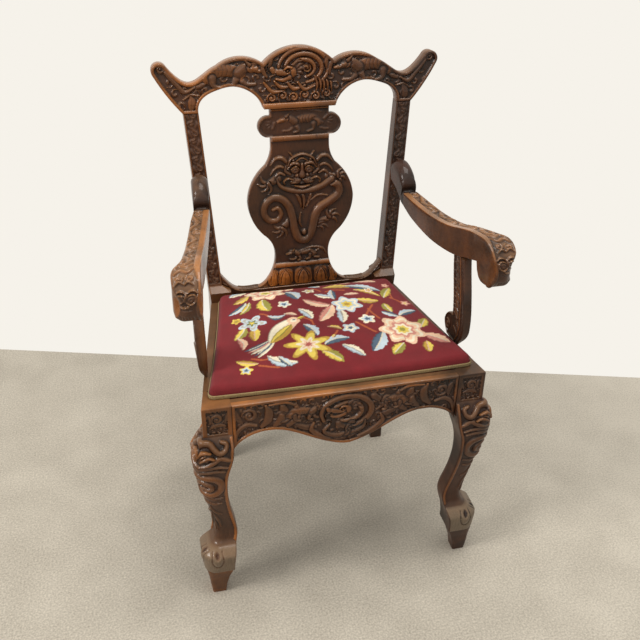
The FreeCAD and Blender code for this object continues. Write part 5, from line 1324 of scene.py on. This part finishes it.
def draw_flowers(work):
    """The seat's flowers, leaves and bird, in the way of such canvaswork."""
    green = ("olive", "yellow", "cream")
    gold = ("yellow", "gold", "pale_rose")
    blue = ("pale_blue", "slate", "cream")
    milk = ("cream", "pale_blue", "grey")
    blush = ("pale_rose", "rose", "cream")
    snow = ("cream", "pale_blue", "slate")
    for line in (((-118, 246), (-108, 238), (-102, 224)), ((98, 216), (102, 196), (110, 176)),
                 ((-38, 206), (-26, 194), (-24, 178)), ((-8, 120), (6, 132), (16, 146)),
                 ((168, 318), (166, 296), (164, 262)), ((8, 335), (14, 322), (20, 306)),
                 ((112, 232), (98, 210), (86, 190)), ((60, 168), (74, 146), (88, 128)),
                 ((-150, 74), (-134, 68), (-116, 62)), ((-160, 96), (-140, 88), (-118, 92)),
                 ((182, 232), (172, 250), (160, 262)), ((30, 300), (46, 306), (70, 300))):
        work.twig(line, 4.5, "bark")
    for base, tip, wide, sag, wools in (
            ((-128, 332), (-164, 306), 16, 0.1, gold), ((-138, 302), (-180, 266), 15, 0.1, blue),
            ((-132, 300), (-157, 260), 14, 0.1, green), ((-124, 362), (-168, 338), 20, 0, milk),
            ((-104, 302), (-98, 250), 26, -0.1, green), ((-52, 328), (-34, 280), 26, 0.1, blue),
            ((-28, 362), (-50, 340), 18, 0, blush), ((-4, 362), (28, 340), 20, 0.1, milk),
            ((36, 352), (98, 346), 16, 0.1, blush), ((104, 350), (152, 336), 17, 0.05, blush),
            ((30, 328), (92, 312), 26, 0.15, gold), ((74, 324), (148, 292), 22, 0.05, blue),
            ((88, 300), (140, 268), 13, 0.1, gold), ((146, 262), (173, 308), 19, 0.05, green),
            ((40, 272), (4, 294), 15, 0.05, milk), ((40, 262), (44, 308), 15, 0.05, blue),
            ((30, 240), (-24, 278), 19, 0.1, blush), ((30, 244), (-10, 186), 24, 0.05, blush),
            ((84, 258), (130, 248), 20, -0.1, gold), ((64, 280), (98, 282), 11, 0, blush),
            ((40, 224), (34, 172), 19, 0.05, milk), ((-42, 242), (-22, 198), 19, 0.1, milk),
            ((-106, 234), (-70, 224), 15, -0.3, blue), ((-74, 228), (-48, 218), 11, 0.1, blush),
            ((-156, 208), (-182, 168), 19, 0.1, green), ((-138, 200), (-145, 152), 20, 0, gold),
            ((-176, 174), (-172, 130), 15, 0.15, blush), ((-44, 182), (-26, 136), 21, 0.1, blue),
            ((-20, 104), (33, 116), 22, 0.15, blue), ((12, 98), (48, 60), 17, 0.05, milk),
            ((-30, 90), (5, 52), 21, 0.05, green), ((0, 164), (26, 148), 9, 0.15, gold),
            ((102, 128), (66, 70), 26, 0.05, blue), ((152, 182), (122, 202), 16, 0, blue),
            ((154, 184), (198, 206), 18, 0.1, blue), ((144, 200), (138, 238), 18, 0.05, green),
            ((184, 138), (206, 174), 20, 0, green), ((180, 114), (224, 78), 27, 0.05, blush),
            ((132, 88), (102, 58), 20, 0, green), ((178, 88), (172, 54), 18, 0, gold),
            ((-150, 80), (-190, 98), 15, 0.1, gold), ((-132, 98), (-78, 66), 20, -0.15, milk),
            ((-112, 92), (-92, 58), 12, 0, blue), ((0, 122), (8, 134), 7, 0, gold)):
        work.leaf(base, tip, wide, sag, wools)
    # buds and small blossoms
    for centre, size, wools in (
            ((-65, 267), 15, snow), ((-3, 316), 14, ("cream", "grey", "yellow")),
            ((-168, 237), 11, ("yellow", "gold", "olive")),
            ((-176, 65), 13, ("yellow", "pale_blue", "slate")),
            ((185, 238), 11, ("rose", "pale_rose", "yellow")), ((166, 318), 9, ("rose", "pale_rose", "rose")),
            ((43, 150), 18, ("pale_blue", "cream", "slate")), ((85, 176), 18, snow),
            ((122, 296), 10, ("cream", "rose", "yellow"))):
        work.petals(centre, size, 5, wools, turn=centre[0], depth=0.35)
    # five open flowers, the two largest with rays
    work.petals((-140, 217), 30, 5, ("pale_blue", "grey", "pale_blue", "moss", "yellow"), turn=0.3, depth=0.5)
    work.petals((60, 239), 33, 6, ("pale_blue", "cream", "pale_blue", "yellow", "gold"), turn=0.4, depth=0.3)
    work.petals((-50, 112), 47, 7, ("gold", "yellow", "yellow", "cream", "pale_rose", "blush"), turn=-0.3,
                depth=0.5)
    pink = ("pale_rose", "cream", "pale_rose", "rose", "cream", "yellow", "olive")
    for centre, size, squash in (((-92, 334), 44, 0.9), ((144, 132), 48, 1.08)):
        work.petals(centre, size, 7, pink, turn=0.5, depth=0.26, squash=squash)
        for k in range(7):
            angle = 0.5 + 2 * math.pi * (k + 0.5) / 7
            ray = np.array([math.cos(angle), squash * math.sin(angle)])
            work.twig([np.array(centre) + share * size * ray for share in (0.42, 0.8)], 1.8, "rose")
    # the bird, with its head to the back and its tail to the front left corner
    for k, wool in enumerate(("cream", "slate", "cream", "rose", "slate")):
        work.leaf((-104 - 3 * k, 150 - k), (-150 - 5 * k, 96 + 7 * k), 9, 0.05, (wool, wool, "cream"), 0.0)
    work.leaf((-46, 208), (-120, 136), 34, -0.06, ("pale_rose", "cream", "cream"), 0.0)
    work.leaf((-66, 186), (-118, 134), 21, 0.03, ("gold", "yellow", "olive"), 0.1)
    work.petals((-60, 199), 13, 1, ("pale_rose", "cream"), depth=0.0)
    work.leaf((-52, 202), (-34, 212), 8, 0, ("yellow", "gold", "gold"))
    work.petals((-59, 202), 2.4, 1, ("slate",), depth=0.0)


def make_cushion():
    """The stitched cover over the crown, and the pad 2.2 mm inside it."""
    stitch = 1.75
    loop = seat_loop()
    coarse, lift = pushed_up(loop)

    def dome(r):
        """The crown and what the simulated push adds to it."""
        r.rise = cushion_height(r.inset, r.u, r.v) + coarse.at(lift, r.u, r.v)

    def underside(r, _, rear):
        """The cover's inner face follows the crown, 1.8 mm below it."""
        return 1.8 - r.at(r.rise, rear[:, 0], rear[:, 1])

    # inset and depth below LEVEL: down the wall to its lower hem, in, and up again on the inside
    rings = [(0.0, -9.0), (-0.6, -3.0), (0.0, 6.0), (0.0, 11.2), (0.8, 11.6), (1.6, 11.2), (1.6, -7.2)]
    spots, faces, _, r, used = board(LEVEL, paired(loop), dome, rings, pitch=stitch, behind=underside)
    work = Needlework(r.u, r.v)
    draw_flowers(work)
    wool = np.ones((len(spots), 4))
    wool[:, :3] = linear(WOOLS["deep_red"])[:3]
    wool[:len(used), :3] = (work.colour * work.shade[..., None]).reshape(-1, 3)[used]
    cover = make_piece("needlepoint_seat_cover", spots, faces, {"wool": wool}, needlepoint,
                       body="drop_in_seat")
    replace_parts(cover, "needlepoint_cover")
    gap = 2.2

    def under(r):
        """The pad's crown, below the cover's."""
        r.rise = cushion_height(r.inset + gap, r.u, r.v) + coarse.at(lift, r.u, r.v) - 2.4

    rings = [(0.0, -8.0), (0.0, -5.5), (1.0, -5.3)]
    spots, faces, _, _, _ = board(LEVEL, paired(seat_loop(gap)), under, rings, pitch=6.0)
    pad = make_piece("horsehair_pad", spots, faces, {}, horsehair, body="drop_in_seat")
    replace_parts(pad, "seat_stuffing")


def make_braid():
    """A gimp braid round the seat: an oval section carried along the outline, plaited by two sines."""
    loop = seat_loop(-0.9, count=60)
    closed = np.vstack([loop, loop[:1]])
    steps = lengths(closed)
    count = int(steps[-1] / (1.1))
    even = np.linspace(0, steps[-1], count, endpoint=False)
    path = np.stack([np.interp(even, steps, closed[:, k]) for k in (0, 1)], -1)
    run = np.roll(path, -1, 0) - np.roll(path, 1, 0)
    run /= np.linalg.norm(run, axis=1, keepdims=True)
    out = np.stack([run[:, 1], -run[:, 0]], -1)
    height = np.concatenate([np.linspace(0, 1, 10), np.linspace(1, 0, 4)])
    proud = np.concatenate([0.35 + 0.65 * arch(2 * height[:10] - 1), np.zeros(4)])
    plait = 2 * np.pi * even[:, None] / 4.2
    twist = 0.5 + 0.5 * np.sin(plait + 5 * np.abs(height - 0.5))
    offset = np.where(proud > 0, 0.3 + 1.5 * proud * (0.6 + 0.4 * twist), 0.0)
    level = SEAT + 0.6 + 7.4 * height + 0.25 * np.sin(plait) * (height > 0.5)
    side = path[:, None] + out[:, None] * offset[..., None]
    rings = np.stack([side[..., 0], side[..., 1] + FRONT, level], -1)
    marks = {"hollow": np.where(proud > 0, twist, 0).ravel()}
    piece = make_piece("gimp_braid", rings * MM, tube(rings, True), marks, gimp,
                       body="drop_in_seat", crease=70)
    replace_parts(piece, "cover_braid")


def woven(name, thread, dark=None, light=None):
    """Cloth whose threads cross at a spacing in millimetres.

    The weave is the product of two sines. Colour comes from two tones of fibre, or from the
    wool attribute of the canvaswork, and is darker between the threads.
    """
    made, tree, shader, here = begin(name)
    waves = []
    for axis in (0, 1):
        part = add(tree, "SeparateXYZ", [here], out=axis)
        cycle = add(tree, "Math", [part, 2 * math.pi / (thread * MM)], operation="MULTIPLY")
        waves.append(add(tree, "Math", [cycle], operation="SINE"))
    weave = add(tree, "Math", waves, operation="MULTIPLY")
    weave = add(tree, "MapRange", {"Value": weave, "From Min": -1.0})
    fuzz = add(tree, "TexNoise", {"Vector": here, "Scale": 900.0, "Detail": 3.0})
    wide = add(tree, "TexNoise", {"Vector": here, "Scale": 30.0, "Detail": 3.0})
    shade = add(tree, "ValToRGB", [wide], stops=[(0.3, 0.85), (0.7, 1.1)])
    layers = [(1.0, shade)]
    if dark:
        mixed = add(tree, "Math", [weave, 0.6, 0.0], operation="MULTIPLY_ADD")
        mixed = add(tree, "Math", [fuzz, 0.7, mixed], operation="MULTIPLY_ADD", use_clamp=True)
        tone = add(tree, "ValToRGB", [mixed], stops=[(0.2, dark), (0.9, light)])
    else:
        tone = add(tree, "Attribute", out="Color", attribute_name="wool")
        stitch = add(tree, "ValToRGB", [weave], stops=[(0.0, 0.8), (0.5, 1.0), (1.0, 1.06)])
        layers.insert(0, (0.7, stitch))
    for share, colour in layers:
        tone = add(tree, "Mix", {0: share, 6: tone, 7: colour}, out=2, data_type="RGBA",
                   blend_type="MULTIPLY")
    bump = add(tree, "Bump", {"Height": weave, "Strength": 0.5, "Distance": 0.0006})
    bump = add(tree, "Bump", {"Height": fuzz, "Strength": 0.35, "Distance": 0.0005, "Normal": bump})
    feed(shader, {"Base Color": tone, "Roughness": 0.9, "Sheen Weight": 0.06, "Sheen Roughness": 0.5,
                  "Normal": bump})
    return made


def brushed_metal(name, colour, rough):
    """Steel with fine scratches, darkened where its surface has dulled."""
    made, tree, shader, here = begin(name)
    stretched = add(tree, "Mapping", {"Vector": here, "Scale": (300.0, 300.0, 4000.0)})
    line = add(tree, "TexNoise", {"Vector": stretched, "Scale": 1.0, "Detail": 3.0})
    tone = add(tree, "ValToRGB", [line], stops=[(0.3, "#3C3A38"), (0.7, colour)])
    level = add(tree, "MapRange", {"Value": line, "To Min": rough - 0.1, "To Max": rough + 0.15})
    bump = add(tree, "Bump", {"Height": line, "Strength": 0.2, "Distance": 0.0002})
    feed(shader, {"Base Color": tone, "Metallic": 1.0, "Roughness": level, "Normal": bump})
    return made


needlepoint = woven("needlepoint_wool", 3.5)
horsehair = woven("curled_horsehair", 2.6, "#2A221C", "#5E5044")
gimp = woven("gimp_braid_cotton", 1.4, "#7A6644", "#B09A6C")
jute = woven("jute_webbing_cloth", 3.0, "#6E5838", "#B39B6C")
screw_steel = brushed_metal("steel_screws", "#8E8C88", 0.35)
tack_steel = brushed_metal("blued_steel_tacks", "#5A5C60", 0.4)


# places of the straps that run front to back, and of those that run across
DEEP_STRAPS = (-85.2, 85.2)
ACROSS_STRAPS = (149.6, 244.9)


def strap(name, across, place, start, end, first):
    """One webbing strap 50 mm wide; its height follows a cosine, up by first at the first crossing."""
    crossings = DEEP_STRAPS if across else ACROSS_STRAPS
    t = np.linspace(start, end, 120)
    wave = np.cos(np.pi * (t - crossings[0]) / (crossings[1] - crossings[0]))
    near = unit(1.6 - np.abs(t - sum(crossings) / 2) / 100)
    level = 3.4 + first * wave * near
    offset = np.array([-25, -24.6, 24.6, 25, 24.6, -24.6])
    lift = np.array([0, 0.7, 0.7, 0, -0.7, -0.7])
    run = np.broadcast_to(t[:, None], (120, 6))
    wide = np.broadcast_to(place + offset, (120, 6))
    x, y = (run, wide) if across else (wide, run)
    rings = np.stack([x, y + FRONT, SEAT + level[:, None] + lift], -1)
    return make_piece(name, rings * MM, tube(rings), {}, jute, body="drop_in_seat", crease=30)


def make_webbing():
    """Four straps that cross under the pad, one over and one under the other."""
    rise = 0.75
    for side, place, first in (("left", DEEP_STRAPS[0], rise), ("right", DEEP_STRAPS[1], -rise)):
        strap("webbing_deep_" + side, False, place, 35.4, 354.1, first)
    for side, place, first in (("front", ACROSS_STRAPS[0], -rise), ("rear", ACROSS_STRAPS[1], rise)):
        half = 243.6 - 0.1928 * (place - 2.5)
        made = strap("webbing_across_" + side, True, place, -half, half, first)
        if side == "front":
            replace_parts(made, "seat_webbing")


def dress_plain_parts():
    """Finishes for the nodes whose own shape is right."""
    finishes = {"seat_rail": plain_deep, "back_seat_rail": plain_across, "glue_block": plain_upright,
                "glue_block_screws": screw_steel, "arm_screws": screw_steel, "seat_frame_front": plain_across,
                "seat_frame_back": plain_across, "seat_frame_side": plain_deep, "cover_tacks": tack_steel}
    for name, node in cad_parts.items():
        match = [key for key in finishes if key in name]
        if match and not node.hide_render:
            node.data.materials.clear()
            node.data.materials.append(finishes[max(match, key=len)])


make_back()
make_posts()
make_front_rail()
make_legs()
make_arms()
make_supports()
make_cushion()
make_braid()
make_webbing()
dress_plain_parts()


# Floor, light and camera
def pale_floor():
    """A matt pale carpet with a short pile: fine specks, faint wide clouds and painted light to the right."""
    made, tree, shader, here = begin("pale_floor")
    pile = add(tree, "TexNoise", {"Vector": here, "Scale": 260.0, "Detail": 4.0})
    wide = add(tree, "TexNoise", {"Vector": here, "Scale": 8.0, "Detail": 4.0})
    level = add(tree, "Math", [wide, 0.4, pile], operation="MULTIPLY_ADD")
    across = add(tree, "SeparateXYZ", [here])
    # painted light: the floor is brighter towards the right, where more light falls
    painted_light_right = add(tree, "MapRange", {"Value": across, "From Min": 0.2, "From Max": 1.4, "To Max": 0.4})
    level = add(tree, "Math", [level, painted_light_right], operation="ADD")
    tone = add(tree, "ValToRGB", [level], stops=[(0.4, "#9C9588"), (1.0, "#D9D2C3")])
    bump = add(tree, "Bump", {"Height": pile, "Strength": 0.12, "Distance": 0.001})
    feed(shader, {"Base Color": tone, "Roughness": 0.95, "Normal": bump})
    return made


def stand_at(thing, name, place, right, up, back):
    """A lamp or a camera at a place, with its own axes along right, up and back."""
    holder = linked(name, thing)
    turn = Matrix((right, up, back)).transposed().to_4x4()
    turn.translation = place
    holder.matrix_world = turn
    return holder


def make_floor():
    """A flat floor that ends behind the chair along the line that the photograph shows."""
    mesh = bpy.data.meshes.new("floor")
    mesh.from_pydata([(-6, -6, 0), (6, -6, 0), (6, -1.268, 0), (-6, 2.415, 0)], [], [(0, 1, 2, 3)])
    mesh.materials.append(pale_floor())
    linked("floor", mesh)


def make_surroundings():
    """A pale backdrop for the camera and in reflections, and a weaker light from all sides."""
    world = bpy.data.worlds.new("studio")
    bpy.context.scene.world = world
    world.use_nodes = True
    tree = world.node_tree
    light = tree.nodes["Background"]
    feed(light, {"Color": linear("#F4F2EE"), "Strength": 0.35})
    backdrop = add(tree, "Background", {"Color": linear("#F6F2EA"), "Strength": 1.0})
    seen = 0.0
    for kind in ("Is Camera Ray", "Is Glossy Ray", "Is Transmission Ray"):
        seen = add(tree, "Math", [seen, add(tree, "LightPath", out=kind)], operation="MAXIMUM")
    feed(tree.nodes["World Output"], {"Surface": add(tree, "MixShader", [seen, light.outputs[0], backdrop])})


def make_lamps():
    """Three square lamps that face the middle of the chair: place, side in metres and power in watts."""
    for name, place, size, power in (("window", (-2.6, -0.6, 2.3), 1.0, 52),
                                     ("ceiling", (0.4, -0.1, 3.0), 1.6, 50),
                                     ("room", (-0.8, -2.8, 1.7), 1.4, 8)):
        lamp = bpy.data.lights.new(name, "AREA")
        lamp.size, lamp.energy = size, power
        lamp.color = linear("#FFFAF4")[:3]
        away = np.array(place, float) - (0, 0, 0.5)
        away /= np.linalg.norm(away)
        side = np.cross((0, 0, 1), away)
        side /= np.linalg.norm(side)
        stand_at(lamp, name, place, side, np.cross(away, side), away)


def make_camera():
    """The camera that the photograph's lines give: its place, and its turn, tilt and roll in radians."""
    place, turn, tilt, roll = (-0.34293, -1.36618, 1.34546), 0.24399, -0.54938, 0.01403
    ahead = np.array([math.sin(turn) * math.cos(tilt), math.cos(turn) * math.cos(tilt), math.sin(tilt)])
    right = np.array([math.cos(turn), -math.sin(turn), 0.0])
    up = np.cross(right, ahead)
    right, up = math.cos(roll) * right + math.sin(roll) * up, math.cos(roll) * up - math.sin(roll) * right
    lens = bpy.data.cameras.new("camera")
    film, focal, picture = 36.0, 822.65, 640
    lens.sensor_width = film
    lens.lens = film * focal / picture
    bpy.context.scene.camera = stand_at(lens, "camera", place, right, up, -ahead)


make_floor()
make_surroundings()
make_lamps()
make_camera()
bpy.context.scene.view_settings.view_transform = "Standard"
